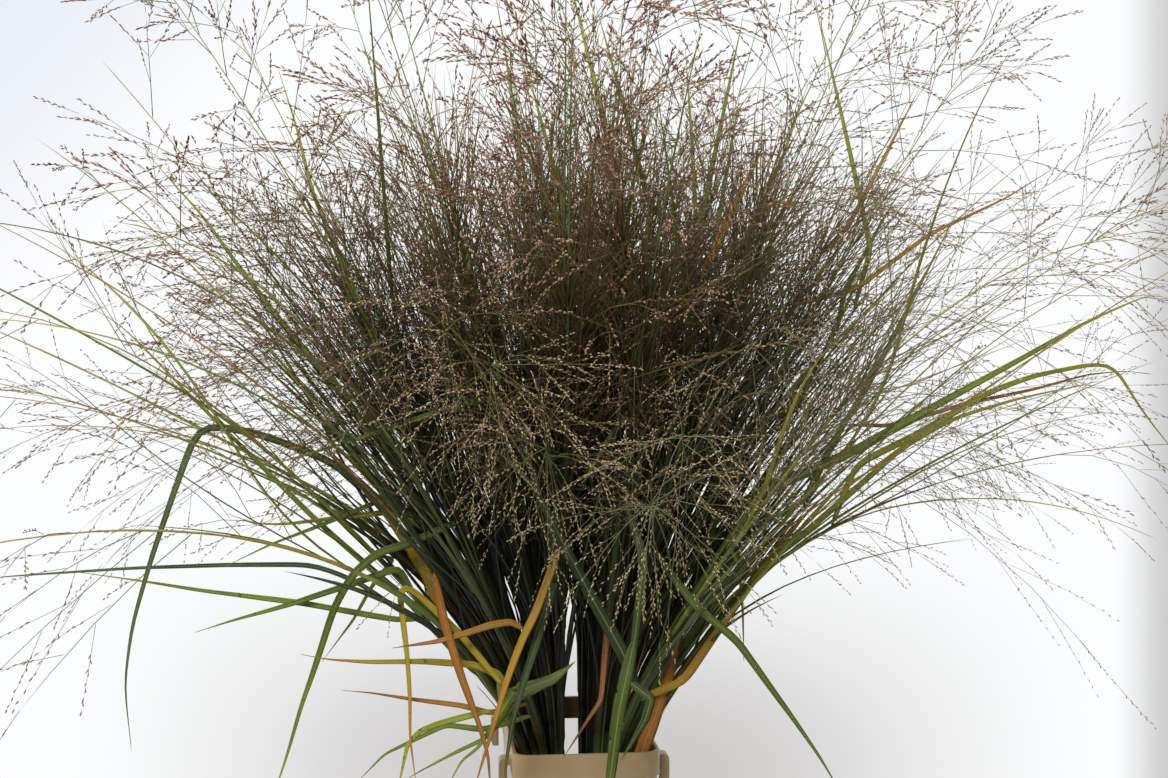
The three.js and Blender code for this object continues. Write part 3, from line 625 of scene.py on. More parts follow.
def find_stem(bunch, c, row, seed):
    """The try whose tip is a corner of the CAD stem."""
    tries = [stem_try(bunch, c, row, seed, turn) for turn in SIDE_TURNS]
    for stem in tries:
        stem.along, stem.line = middle_line(stem)
        stem.corners = node_points(stem.name)
    stem = min(tries, key=lambda tried: off_by(tried, tried.line[-1]))
    if c == 0:
        stem.line[:, 0] += math.copysign(PARTING, stem.x) * np.interp(stem.along, [60, 300], [1, 0])
    stem.cuts = np.array([stem.along[0], *COARSE_CUTS, 0.8 * stem.length, stem.length])
    stem.cut_points = on_stem(stem, stem.cuts)
    return stem


def set_habit(stem):
    """How full, fine and pale the stem grows, in shares of how far it leans to a side or to the
    front. Stems on the right are bleached, and those on the left are limier."""
    right = stem.x > 0
    side = abs(math.cos(stem.azimuth)) * min(1, stem.raw / 1.2)
    stem.frontness = abs(math.sin(stem.azimuth)) * min(1, stem.raw / 0.8)
    stem.bleached = side if right else 0.0
    stem.fullness = 0.97 - 0.82 * side
    stem.shoot_fullness = (1 - 0.8 * side) * (1 - 0.4 * stem.frontness)
    stem.shoots = (3 if side < 0.55 else 2 if side < 0.75 else 1) + (stem.raw < 0.62)
    stem.fine = 1.2 - 0.3 * side - 0.26 * stem.bleached
    stem.limy = (0.32 if right else 0.42) * side
    stem.slim = 1 - 0.35 * side - 0.25 * stem.bleached
    stem.pale = (0.25 if right else -0.10) * side
    stem.tillers = 24 if stem.raw < 0.8 else 0 if stem.raw >= 1.1 else 5 if right else 11
    most, share = (150, 1.7 - 2.3 * side) if right else (100, 1.2 - 1.6 * side)
    stem.wisps = round(most * min(1, max(0, share)))
    few = 1 if right else 2
    stem.inner_blades = 7 if stem.raw < 0.9 else 5 if stem.raw < 1.3 else few


stems = []
for bunch, columns in COLUMNS.items():
    for c in range(len(columns)):
        for row in range(ROWS):
            stems.append(find_stem(bunch, c, row, len(stems) + 1))
for stem in stems:
    set_habit(stem)

# Blades that show singly on the best side: width, depths of the two ends behind the holder's
# middle, hue from 0, blue-green, over yellow to 1, rust, and points, each a distance across and
# one above the rim. The solids have those of the first list, and MORE_BLADES are finer additions.
SHOWN_BLADES = [
    # Left, hanging or level.
    (9, -90, -130, 0.16, (-140, 187, -188, 227, -242, 248, -280, 255, -288, 251, -300, 217, -320, 156,
        -334, 104, -339, 60, -332, 8)),
    (6, -60, -110, 0.10, (-140, 105, -172, 129, -206, 143, -272, 144, -342, 143, -442, 138, -475, 133)),
    (7, -100, -90, 0.44, (-134, 104, -211, 117, -288, 126, -334, 133, -388, 140)),
    (8, -110, -95, 0.36, (-134, 146, -179, 130, -220, 116, -265, 103, -295, 93)),
    (6, -80, -90, 0.38, (-120, 215, -151, 195, -196, 176, -236, 161, -273, 143)),
    (6.5, -70, -100, 0.58, (-118, 172, -143, 185, -186, 181, -226, 177, -246, 178, -269, 187)),
    (9, -120, -125, 0.34, (-128, 164, -147, 160, -167, 143, -181, 118, -196, 71, -206, 43, -216, 8,
        -232, -40)),
    (5, -90, -100, 0.46, (-140, 150, -156, 130, -171, 103, -195, 71)),
    (7, -90, -95, 0.46, (-80, 58, -134, 118, -199, 175, -246, 222, -305, 281, -346, 324, -367, 341,
        -389, 349)),
    (8, 0, 10, 0.42, (-146, 214, -203, 286, -246, 337, -279, 379, -312, 425, -342, 458, -360, 479)),
    (7.5, -20, -10, 0.46, (-154, 296, -192, 387, -216, 442, -229, 496, -245, 546)),
    # Upright, showing between the panicles.
    (9, -20, 0, 0.44, (47, 354, 35, 442, 24, 502, -1, 604, -8, 637)),
    (7, 20, 20, 0.38, (62, 437, 38, 529, 17, 604)),
    (8, -40, -20, 0.40, (4, 354, -5, 408, -13, 445, -27, 497, -42, 553)),
    (9, 0, 0, 0.42, (-79, 346, -94, 404, -108, 458, -125, 525)),
    (6, 10, 10, 0.44, (102, 404, 98, 487, 92, 566)),
    (7, 0, 20, 0.36, (104, 416, 121, 496, 142, 596)),
    (9, -125, -20, 0.78, (96, 366, 121, 416, 158, 487)),
    (6, 30, 40, 0.42, (117, 396, 129, 462, 142, 537)),
    # Right, upright or leaning out.
    (6.5, 0, 10, 0.46, (246, 396, 231, 468, 214, 545, 201, 604)),
    (6, 20, 20, 0.44, (146, 404, 178, 483, 197, 538)),
    (6, 10, 10, 0.74, (229, 416, 257, 470, 288, 531)),
    (5.5, -30, -20, 0.76, (229, 362, 288, 406, 352, 436, 392, 461)),
    (8, -20, -20, 0.42, (188, 187, 212, 237, 242, 286, 280, 360, 316, 432)),
    (6, 30, 40, 0.46, (229, 362, 265, 427, 284, 457)),
    (7, 0, 0, 0.44, (188, 270, 218, 332, 248, 398)),
    (11, -50, -50, 0.42, (110, 178, 155, 200, 216, 227, 257, 250, 308, 278, 359, 306, 410, 335,
        465, 359, 478, 352)),
    (8, -75, -80, 0.56, (220, 222, 270, 247, 326, 280, 359, 292, 404, 301, 419, 301, 424, 296, 434, 279,
        446, 261, 460, 243, 475, 225)),
    (5, -20, -20, 0.90, (260, 250, 320, 268, 377, 280, 420, 292, 451, 295, 475, 292)),
    (8, -95, -70, 0.52, (120, 130, 169, 162, 216, 202, 257, 237, 297, 259, 348, 274, 416, 288)),
    (9, -150, -160, 0.30, (88, 125, 120, 98, 143, 66, 162, 40, 180, 14, 200, -20)),
    (4.5, -50, -50, 0.60, (122, 157, 132, 140, 135, 102, 136, 61)),
    (16, -86, -95, 0.86, (46, -28, 54, 4, 64, 31, 74, 62, 81, 89, 91, 111)),
    # Front, low over the rim.
    (13, -185, -215, 0.05, (47, 67, 36, 95, 13, 137, -6, 174, -25, 212, -41, 232, -64, 250)),
    (9, -195, -200, 0.16, (50, 165, 45, 121, 42, 98, 33, 74, 27, 46, 24, 12, 21, -10)),
    (10, -175, -180, 0.12, (40, 81, 54, 70, 50, 56, 33, 28)),
    (19, -105, -185, 0.30, (-50, 46, -32, 60, -16, 70, 2, 90)),
    (9, -190, -205, 0.75, (-26, 127, -36, 107, -46, 81, -55, 51, -67, 12, -72, -6)),
    (9.5, -180, -170, 0.12, (-26, 104, -36, 73, -44, 44, -49, 12, -50, -15)),
    (8, -150, -165, 0.80, (-37, 106, -46, 112, -61, 110, -84, 103, -100, 99, -133, 95)),
    (8, -140, -150, 0.66, (-52, 61, -84, 101, -109, 125, -124, 138, -129, 137, -129, 132, -126, 110,
        -123, 85, -121, 56, -121, 25, -115, -19)),
    (9, -130, -160, 0.66, (-55, 68, -74, 77, -110, 81, -151, 82, -180, 85, -201, 90)),
    (6.5, -120, -150, 0.80, (-64, 37, -84, 44, -120, 51, -151, 58, -172, 61)),
    (7, -140, -150, 0.52, (-61, 44, -79, 40, -100, 35, -114, 30, -123, 20, -128, -3, -130, -19)),
    (7, -110, -130, 0.36, (-69, 22, -98, 27, -120, 17, -143, 7, -165, -15)),
    (5.5, -130, -140, 0.40, (-67, 20, -90, 10, -116, -3, -131, -12)),
    (5, -145, -150, 0.42, (-71, 17, -83, 8, -98, -19)),
    (10, -146, -135, 0.86, (-102, 150, -94, 112, -82, 72, -69, 36, -63, 14, -61, -19)),
    (7, -160, -165, 0.92, (20, 56, 9, 40, -9, 13)),
]
MORE_BLADES = [
    (10, -104, -108, 0.76, (84, 58, 104, 88, 127, 121, 150, 153, 176, 186, 204, 214)),
    (14, -199, -206, 0.24, (43, 108, 39, 90, 32, 58, 27, 20, 23, -14, 16, -52)),
    (13, 30, 50, 0.10, (-34, 30, -42, 75, -50, 115, -60, 160, -72, 200)),
    (7, -120, -180, 0.33, (-60, 276, -89, 270, -124, 258, -166, 244, -226, 227)),
    (14, -95, -105, 0.70, (-112, 136, -140, 182, -176, 222, -198, 243)),
    (7, -190, -225, 0.30, (58, 300, 46, 276, 25, 250, 7, 220, 3, 219)),
]
COMMON_HUES = (0.28, 0.34, 0.38, 0.42, 0.44, 0.48, 0.52, 0.58, 0.70, 0.82)
INNER_HUES = (0.02, 0.10, 0.20, 0.24, 0.28, 0.32, 0.36, 0.98)
OLD_HUES = (0.04, 0.08, 0.12, 0.30, 0.84, 0.92, 0.97, 0.99)
BLADE_TURNS = (0, 18, -18, 36, -36, 56, -56, 80, -80, 110, -110, 145, -145, 180)
DEPTH_SHIFTS = (0, -8, 8, -16, 16, -26, 26, -40, 40)
SHOWN_ROWS, COMMON_ROWS, STRIP_ROWS = 44, 22, 12
STEPS = 24
STRIP_SHARE = np.linspace(0, 1, 14)


def chosen(values, seed, purpose):
    """One of the values by a draw."""
    return values[int(draw(seed, purpose) * len(values))]


def run_lengths(points):
    """The distance along a line to each of its points."""
    return np.append(0, np.cumsum(np.linalg.norm(np.diff(points, axis=0), axis=1)))


def shown_points(path, depths):
    """Points of the best side's upright plane, pushed back by the depths."""
    across, above = np.reshape(path, (-1, 2)).T
    return best_side_place(across, depths, BUCKET.height + above)


def find_shown_blade(width, near, far, hue, path):
    """Gives the blade to the stem whose CAD corners hold its tip."""
    lengths = run_lengths(np.reshape(path, (-1, 2)))
    depths = between(near, far, lengths / lengths[-1])
    tries = [
        (off_by(stem, tip), shift, stem)
        for shift in DEPTH_SHIFTS
        for tip in [shown_points(path, depths + shift)[-1]]
        for stem in stems
    ]
    _, shift, stem = min(tries, key=lambda tried: tried[0])
    root_shown_blade(stem, width, hue, shown_points(path, depths + shift))


def best_root(stem, points):
    """The stem's best root for a blade: its cost, which is the distance to the blade's first
    point and 90 mm times one minus the cosine of the turn there, then both parts, and its place."""
    along = np.arange(8, 0.7 * stem.length, 12)
    places = on_stem(stem, along)
    distance = np.linalg.norm(points[0] - places, axis=1)
    turn = 90 * (1 - unit(points[0] - places) @ unit(points[1] - points[0]))
    cost = distance + turn + np.where(distance < 15, 15, 0)
    best = np.argmin(cost)
    return cost[best], distance[best], turn[best], places[best]


def add_blade(stem, points, facing, width, hue, seed, rows, shown=False):
    """Notes a blade that the stem will grow: its middle line, the way it faces and the rest."""
    names = ("points", "facing", "width", "hue", "seed", "rows", "shown")
    values = (points, facing, width, hue, seed, rows, shown)
    stem.blades.append(SimpleNamespace(**dict(zip(names, values))))


def root_shown_blade(stem, width, hue, points):
    """Adds a blade that shows singly, with its root unless that is far off or makes a sharp bend
    in front."""
    _, distance, turn, root = best_root(stem, points)
    sharp = turn > 25 and points[0][1] < -130
    if points[0][2] > BUCKET.height and distance < 75 and not sharp:
        points = np.concatenate([[root], points])
    add_blade(stem, points, -BEHIND, width, hue, points[-1].sum() + 999, SHOWN_ROWS, True)


def common_line(stem, seed, turn):
    """A common blade's middle line, its tip on the CAD stem, and the way it faces. It leaves the
    stem's own heading over its first third, then its angle from upright grows by the arch times
    the share of its length to the power 1.4."""
    along = drawn(70, 290, seed, 11)
    azimuth = stem.azimuth + math.radians(drawn(-80, 80, seed, 12) + turn)
    length = drawn(240, 420, seed, 13)
    parting = math.radians(drawn(4, 16, seed, 17))
    tilt = float(tilt_at(stem, along)) * math.cos(azimuth - stem.azimuth) + parting
    arch = math.radians(drawn(4, 60, seed, 14, 2.2))
    flat = flat_way(azimuth)
    roll = drawn(-0.9, 0.9, seed, 15)
    facing = unit(unit(UP - flat) + roll * np.array([-flat[1], flat[0], 0]))
    share = (np.arange(STEPS) + 0.5) / STEPS
    angle = tilt + arch * share**1.4
    heading = np.outer(np.sin(angle), flat) + np.outer(np.cos(angle), UP)
    parted = np.minimum(1, share / 0.3)[:, None]
    heading = unit(heading * parted + axes_at(stem, along)[0] * (1 - parted))
    root = place_on(stem.cuts, stem.cut_points, along)
    points = root + np.concatenate([[[0, 0, 0]], np.cumsum(heading * length / STEPS, axis=0)])
    points += on_stem(stem, along) - root
    return points, points[-1] - (on_stem(stem, along) - root)[0], facing


def add_common_blades(stem):
    """The CAD stem's own one or two blades, each at the turn where its corners hold the tip."""
    for number in range(2 if draw(stem.seed, 6) < 0.4 else 1):
        seed = stem.seed * 10 + number
        tries = [common_line(stem, seed, turn) for turn in BLADE_TURNS]
        points, _, facing = min(tries, key=lambda tried: off_by(stem, tried[1]))
        width = drawn(4, 7, seed, 16) * (1 - 0.4 * stem.bleached)
        hue = chosen(COMMON_HUES, seed, 18) + drawn(-0.04, 0.04, seed, 19)
        add_blade(stem, points, facing, width, hue, seed, COMMON_ROWS)


def add_inner_blade(stem, number):
    """A blade inside the bunch. It keeps to the stem's own heading and leaves it by an angle that
    grows nearly with the square of the share of its length."""
    seed = stem.seed * 50 + number
    high = number > 3
    start = drawn(20, 130, seed, 41) + (110 if high else 0)
    length = drawn(170, 210 if high else 320, seed, 42)
    around = 2 * math.pi * draw(seed, 43)
    _, out, across = axes_at(stem, np.full(len(STRIP_SHARE), start))
    side = out * math.cos(around) + across * math.sin(around)
    off = 2.5 * STRIP_SHARE**0.3 + drawn(8, 70, seed, 44) * STRIP_SHARE**1.8
    along = np.minimum(start + length * STRIP_SHARE, stem.length)
    points = on_stem(stem, along) + side * off[:, None]
    width = drawn(10, 3.2, seed, 42, 0.7)
    add_blade(stem, points, side[0], width, chosen(INNER_HUES, seed, 45), seed, STRIP_ROWS)


def add_old_leaf(stem, number):
    """A strip of old sheath that lies along the culm: its distance from it grows with the square
    of the share of its length, so that only its end stands off."""
    seed = stem.seed * 30 + number
    along = drawn(-50, 60, seed, 31) + drawn(90, 250, seed, 32) * STRIP_SHARE
    around = 2 * math.pi * draw(seed, 33)
    _, out, across = axes_at(stem, along)
    side = out * math.cos(around) + across * math.sin(around)
    if abs(stem.x) < 20 and side[0, 0] * stem.x < 0:
        side = -side
    off = 2.6 + drawn(3, 22, seed, 34, 2) * STRIP_SHARE**2.2
    points = on_stem(stem, along) + side * off[:, None]
    width = drawn(4, 7.5, seed, 36)
    add_blade(stem, points, side[0], width, chosen(OLD_HUES, seed, 35), seed, STRIP_ROWS)


for shown in SHOWN_BLADES:
    find_shown_blade(*shown)
for width, near, far, hue, path in MORE_BLADES:
    points = shown_points(path, np.linspace(near, far, len(path) // 2))
    root_shown_blade(min(stems, key=lambda stem: best_root(stem, points)[0]), width, hue, points)
for stem in stems:
    add_common_blades(stem)
    for number in range(stem.inner_blades):
        add_inner_blade(stem, number)
    for number in range(3):
        add_old_leaf(stem, number)

CULM, BLADE, PANICLE, SHOWN_BLADE = range(4)  # places of the finishes on a stem
BLADES = (BLADE, SHOWN_BLADE)
MARKS = ("tone", "along", "across", "kind")
# The bunch's leafy middle, inside which the finishes paint shade: its radius at the rim, the height of
# that, how fast it widens, and the offset of its axis across.
BUNCH = SimpleNamespace(radius=0.085, from_height=0.3, widening=0.6, middle=-0.03)  # in metres


def bunch_radius(height):
    """How far the bunch's leafy middle reaches at a height, which widens evenly over the rim."""
    return BUNCH.radius + (height - BUNCH.from_height) * BUNCH.widening


class Growth:
    """A stem's mesh as it grows: points, triangles and, for each point, what the finishes read."""

    def __init__(self):
        self.points, self.faces, self.slots, self.marks, self.strips = [], [], [], [], []
        self.count, self.blades = 0, 0

    def add(self, points, faces, slot, *marks):
        """Adds a closed body. Each of its four marks is one number or one for each point."""
        size = len(points)
        marks = [np.broadcast_to(np.asarray(mark, np.float32), (size,)) for mark in marks]
        self.points.append(points)
        self.faces.append(faces + self.count)
        self.slots.append(np.full(len(faces), slot, np.int32))
        self.marks.append(np.stack(marks, -1))
        self.strips.append(np.stack([np.full(size, slot), np.full(size, self.blades)], -1))
        self.blades += slot in BLADES
        self.count += size

    def add_threads(self, rows, radii, *marks):
        """Adds closed three-sided threads. rows holds each thread's points, of which the ends are
        tips. Round each inner point a ring of three stands square to the thread, by its radius.
        Each mark has a number for every point of a row, or one for all."""
        number, size, _ = rows.shape
        forward = unit(rows[:, 2:] - rows[:, :-2])
        angle = 2 * np.pi * np.arange(3) / 3
        side, over = square_to(forward, 0.95)
        ring = over[:, :, None] * np.cos(angle)[:, None] + side[:, :, None] * np.sin(angle)[:, None]
        radii = np.broadcast_to(radii, (number, size - 2))[:, :, None, None]
        inner = (rows[:, 1:-1, None] + ring * radii).reshape(number, -1, 3)
        points = np.concatenate([rows[:, :1], inner, rows[:, -1:]], axis=1)
        faces = ring_faces(size - 2, 3) + (np.arange(number) * points.shape[1])[:, None, None]
        marks = [np.broadcast_to(mark, (number, size)) for mark in marks]
        spots = [0, *np.repeat(np.arange(1, size - 1), 3), size - 1]
        marks = [mark[:, spots].ravel() for mark in marks]
        self.add(points.reshape(-1, 3), faces.reshape(-1, 3), PANICLE, *marks)

    def finish(self, name, materials):
        """The stem as one object. Its marks are point attributes. In its bake map, threads and
        husks lie by their tone and their depth in the bunch, and a blade or the culm by its
        length and its width, each blade in a strip of its own."""
        points = np.concatenate(self.points) * MM
        faces = np.concatenate(self.faces)
        grown = make_mesh(name, points, faces, materials)
        mesh = grown.data
        mesh.polygons.foreach_set("material_index", np.concatenate(self.slots))
        marks = np.concatenate(self.marks).T
        for read_as, mark in zip(MARKS, marks):
            mesh.attributes.new(read_as, "FLOAT", "POINT").data.foreach_set("value", mark.copy())
        tone, along, across, kind = marks
        slot, strip = np.concatenate(self.strips).T
        # How deep each point lies in the bunch, near as the painted shade reckons it, so that places of
        # unlike painted shade lie apart in the bake map.
        radius = np.linalg.norm(points[:, :2], axis=1)
        reach = bunch_radius(points[:, 2].clip(BUNCH.from_height))
        depth = np.clip(1.15 - radius / reach, 0, 1)
        step = np.arange(len(points)) % 3 * 0.007
        u = np.where(slot == PANICLE, 0.01 + tone.clip(0, 1) * 0.95 + step, 0.01 + along * 0.98)
        v = np.where(kind > 0, 0.02, 0.32) + depth * 0.22 + along * 0.02 + step
        strip_v = 0.56 + (strip + 0.5 + 0.42 * across) / self.blades * 0.34
        v = np.where(np.isin(slot, BLADES), strip_v, v)
        v = np.where(slot == CULM, 0.95 + 0.04 * across, v)
        chart = np.stack([u, v], -1).clip(0.002, 0.998).astype(np.float32)[faces.ravel()]
        mesh.uv_layers.new(name="OFBake").data.foreach_set("uv", chart.ravel())
        return grown


def square_to(forward, upright):
    """Two unit vectors square to each way forward and to each other. A way that is more upright
    than the limit takes x in place of z as its helper."""
    helper = np.where(np.abs(forward[..., 2:]) > upright, [1.0, 0, 0], UP)
    side = unit(np.cross(forward, helper))
    return side, np.cross(side, forward)


def resampled(points, count):
    """The line at even steps, each point then averaged twice with its neighbours, so that a kink
    keeps a short round bend. Also its length."""
    run = run_lengths(points)
    line = place_on(run, points, np.linspace(0, run[-1], count))
    for _ in range(2):
        line[1:-1] = line[1:-1] / 2 + (line[:-2] + line[2:]) / 4
    return line, run[-1]


def ring_faces(rows, sides):
    """Triangles of a tube of rings that closes on a point at each end. Points run: first tip,
    ring after ring, last tip."""
    ring, spot = np.meshgrid(np.arange(rows - 1), np.arange(sides), indexing="ij")
    here = (1 + ring * sides + spot).ravel()
    after = (1 + ring * sides + (spot + 1) % sides).ravel()
    k = np.arange(sides)
    last = 1 + rows * sides
    last_ring = last - sides
    return np.concatenate(
        [
            np.stack([k * 0, 1 + (k + 1) % sides, 1 + k], -1),
            np.stack([here, after, after + sides], -1),
            np.stack([here, after + sides, here + sides], -1),
            np.stack([k * 0 + last, last_ring + k, last_ring + (k + 1) % sides], -1),
        ]
    )


def capped(first, middle, last):
    """Marks of a closed tube: the first tip's, the rings' and the last tip's."""
    return np.concatenate([[first], middle, [last]])


def grow_blade(growth, blade):
    """A blade folded along its midrib. Across it, six points make a shallow V with a keel below.
    Its width grows over the first fifth and then falls off as one minus the share squared."""
    rng = np.random.default_rng(int(blade.seed * 7919) % 2**31)
    line, length = resampled(blade.points, blade.rows + 2)
    share = np.linspace(0, 1, blade.rows + 2)
    forward = unit(np.gradient(line, axis=0))
    across = unit(np.cross(np.broadcast_to(blade.facing, forward.shape), forward))
    up = np.cross(forward, across)
    turn = 0.3 if blade.shown else 1.0
    twist = turn * (rng.uniform(-0.35, 0.35) + rng.uniform(-1.0, 1.0) * share**1.5)
    twist += 0.12 * np.sin(share * rng.uniform(8, 16) + rng.uniform(0, 6))
    turned = across * np.cos(twist)[:, None] + up * np.sin(twist)[:, None]
    face = up * np.cos(twist)[:, None] - across * np.sin(twist)[:, None]
    half = 0.38 * blade.width * (0.36 + 0.64 * (1 - np.exp(-share / 0.07))) * (1 - share**2)
    half = np.maximum(half, 0.25)
    fold = np.tan(rng.uniform(0.15, 0.3 if blade.shown else 0.5)) * (1 - 0.4 * share)
    spots = np.array([-1.0, -0.5, 0.0, 0.5, 1.0, 0.0])
    places = line[:, None] + turned[:, None] * (half[:, None] * spots)[:, :, None]
    places = places + face[:, None] * (half[:, None] * np.abs(spots) * fold[:, None])[:, :, None]
    wave = face * (0.10 * half * np.sin(share * rng.uniform(20, 40)))[:, None]
    places[:, 0] += wave
    places[:, 4] -= wave
    places[:, 5] -= face * (0.75 - 0.4 * share)[:, None]
    points = np.concatenate([line[:1], places[1:-1].reshape(-1, 3), line[-1:]])
    along = capped(0, np.repeat(share[1:-1], 6), 1)
    spots = capped(0, np.tile(spots, blade.rows), 0)
    slot = BLADES[int(blade.shown)]
    growth.add(points, ring_faces(blade.rows, 6), slot, blade.hue, along, spots, length / 400)


CULM_SIDES = 6
CULM_RADII = np.array([[-80, 2.5], [0, 3.0], [190, 2.3], [330, 1.2], [560, 0.5], [700, 0.3]])
JOINTS = [-130, 15, 110, 215, 330, 430]
SHEATH_HUES = (0.02, 0.06, 0.10, 0.14, 0.20, 0.26, 0.32, 0.36, 0.40, 0.97)


def grow_culm(growth, stem):
    """The culm: rings square to the middle line. Each sheath adds a twelfth to the radius from
    its joint to its mouth, and each joint swells by a sixth."""
    seed = stem.seed
    joints = np.array([joint + drawn(-14, 14, seed, 40 + k) for k, joint in enumerate(JOINTS)])
    mouths = joints[1:] - [drawn(4, 24, seed, 50 + k) for k in range(5)]
    low, high = stem.along[0] + 0.5, stem.length - 6
    rings = [low, -130, -90, *np.arange(-80, 320, 16.0), *np.arange(320, high, 26.0)]
    for joint, mouth in zip(joints[1:], mouths):
        rings += [joint - 2.5, joint, joint + 2.5, mouth - 1.0, mouth + 0.6]
    rings = np.unique(np.clip(rings, low, high))
    section = np.clip(np.searchsorted(joints, rings) - 1, 0, 5)
    covered = (section < 5) & (rings < mouths[np.minimum(section, 4)]) | (rings < joints[0])
    near_joint = np.abs(rings[:, None] - joints[1:]).min(1)
    radius = np.interp(rings, *CULM_RADII.T) * np.interp(rings, [120, 320], [1, stem.slim])
    radius *= np.where(covered, 1.08, 0.88) * (1 + 0.16 * np.exp(-((near_joint / 2.5) ** 2)))
    hues = np.array([chosen(SHEATH_HUES, seed, 60 + k) for k in range(6)])
    tone = np.where(covered, hues[section], np.interp(rings, [0, 150, 400], [0.08, 0.20, 0.36]))
    tone += stem.limy * np.interp(rings, [20, 130], [0, 1])
    tone += 0.15 * stem.bleached * np.interp(rings, [150, 350], [0, 1])
    _, out, across = axes_at(stem, rings)
    angle = 2 * np.pi * (np.arange(CULM_SIDES) + 0.5) / CULM_SIDES
    ring = out[:, None] * np.cos(angle)[:, None] + across[:, None] * np.sin(angle)[:, None]
    places = on_stem(stem, rings)[:, None] + ring * radius[:, None, None]
    points = np.concatenate([stem.line[:1], places.reshape(-1, 3), stem.line[-1:]])
    around = np.tile(np.abs(np.sin(angle)) * np.sign(np.cos(angle)), len(rings))
    swelling = np.exp(-((near_joint / 3) ** 2))
    marks = (
        capped(tone[0], np.repeat(tone, CULM_SIDES), tone[-1]),
        capped(0, np.repeat((rings + 300) / 1000, CULM_SIDES), 1),
        capped(0, around, 0),
        capped(0, np.repeat(swelling, CULM_SIDES), 0),
    )
    growth.add(points, ring_faces(len(rings), CULM_SIDES), CULM, *marks)


PRIMARIES, SECONDARIES, STRING = 25, 4, 9
SPIRAL, SPIRAL_RADIANS = 137.5, 2.4  # from each branch to the next round their axis
SEED_TURN = 61
CAD_BRANCHES = 5
SHOOT_BRANCHES = 18
PANICLE_SHARE = 0.5
BRANCH_TRIES = [(shorten, turn) for shorten in (1, 0.8, 0.6, 0.45) for turn in BLADE_TURNS]
BOX_LOW, BOX_HIGH = (np.array(corner) / MM for corner in cad_box)
BOX_ROOM = 22


def fan_out(forward, out, across, angle, spread):
    """Headings that leave a branch's axis by the spread, at an angle round it, and sag a little."""
    side = out * np.cos(angle)[:, None] + across * np.sin(angle)[:, None]
    return unit(forward * np.cos(spread)[:, None] + side * np.sin(spread)[:, None] - 0.1 * UP)


def cad_branch(stem, number, turn, shorten):
    """A branch of the CAD stem: its tip, its heading and its length."""
    seed = stem.seed * 20 + number
    share = (number + 0.35) / CAD_BRANCHES
    along = between(PANICLE_SHARE * stem.length, 0.97 * stem.length, share)
    angle = np.radians([number * SPIRAL + stem.seed * SEED_TURN + turn])
    spread = np.radians([drawn(34, 52, seed, 21)])
    length = shorten * (55 + 130 * (1 - share) ** 0.8) * drawn(0.85, 1.1, seed, 22)
    heading = fan_out(*axes_at(stem, along), angle, spread)[0]
    root = place_on(stem.cuts, stem.cut_points, along)[0]
    return root + heading * length, heading, length


def grow_primaries(stem, rng):
    """Feet, headings and lengths of the panicle's main branches, which spiral up the axis. Every
    fifth is the CAD stem's own branch, and an outer stem has fewer of the others."""
    number = np.arange(PRIMARIES)
    share = (number + 0.35) / PRIMARIES
    along = between(PANICLE_SHARE * stem.length, 0.985 * stem.length, share)
    along = along + rng.uniform(-4, 4, PRIMARIES)
    angle = number * SPIRAL + stem.seed * SEED_TURN + rng.uniform(-20, 20, PRIMARIES)
    spread = np.radians(rng.uniform(24, 52, PRIMARIES))
    length = (52 + 122 * (1 - share) ** 0.8) * rng.uniform(0.62, 1.0, PRIMARIES)
    heading = fan_out(*axes_at(stem, along), np.radians(angle), spread)
    keep = rng.random(PRIMARIES) < stem.fullness * (1 - 0.3 * share)
    for j in range(CAD_BRANCHES):
        tries = [cad_branch(stem, j, turn, shorten) for shorten, turn in BRANCH_TRIES]
        tip, way, reach = min(tries, key=lambda tried: off_by(stem, tried[0]))
        if off_by(stem, tip) < 1:
            own = 5 * j + 1
            heading[own], length[own], keep[own] = way, 0.9 * reach, True
    return on_stem(stem, along)[keep], heading[keep], length[keep]


def grow_shoot(growth, stem, rng):
    """A side shoot from a low joint. It turns from the stem's own tilt to its last tilt with the
    share of its length to the power 1.4. Returns its panicle's main branches."""
    start = between(rng.uniform(110, 280), rng.uniform(92, 200), stem.frontness)
    length = rng.uniform(210, 310)
    flat = flat_way(stem.azimuth + math.radians(rng.uniform(-38, 38)))
    first = float(tilt_at(stem, start)) + math.radians(rng.uniform(2, 12))
    last = math.radians(between(rng.uniform(2, 40), rng.uniform(50, 100), stem.frontness))
    share = np.linspace(0, 1, STEPS + 1)
    tilt = first + (last - first) * share**1.4
    forward = np.outer(np.sin(tilt), flat) + np.outer(np.cos(tilt), UP)
    steps = np.cumsum(forward[:-1] * length / STEPS, axis=0)
    line = on_stem(stem, start) + np.concatenate([[[0, 0, 0]], steps])
    radii = np.interp(share[2:-2:2], [0, 1], [0.8, 0.3])
    growth.add_threads(line[None, ::2], radii, 0.3, 0.0, stem.bleached, 0.0)
    number = np.arange(SHOOT_BRANCHES)
    place = 0.28 + 0.71 * (number + 0.35) / SHOOT_BRANCHES
    way = unit(place_on(share, forward, place))
    across = np.broadcast_to([-flat[1], flat[0], 0], way.shape)
    angle = number * SPIRAL_RADIANS + rng.uniform(0, 6.28)
    angle = angle + rng.uniform(-0.4, 0.4, SHOOT_BRANCHES)
    spread = np.radians(rng.uniform(28, 62, SHOOT_BRANCHES))
    reach = (40 + 85 * (1 - place) ** 0.8) * rng.uniform(0.7, 1.1, SHOOT_BRANCHES)
    keep = rng.random(SHOOT_BRANCHES) < stem.shoot_fullness
    heading = fan_out(way, np.cross(across, way), across, angle, spread)
    return place_on(share, line, place)[keep], heading[keep], reach[keep]


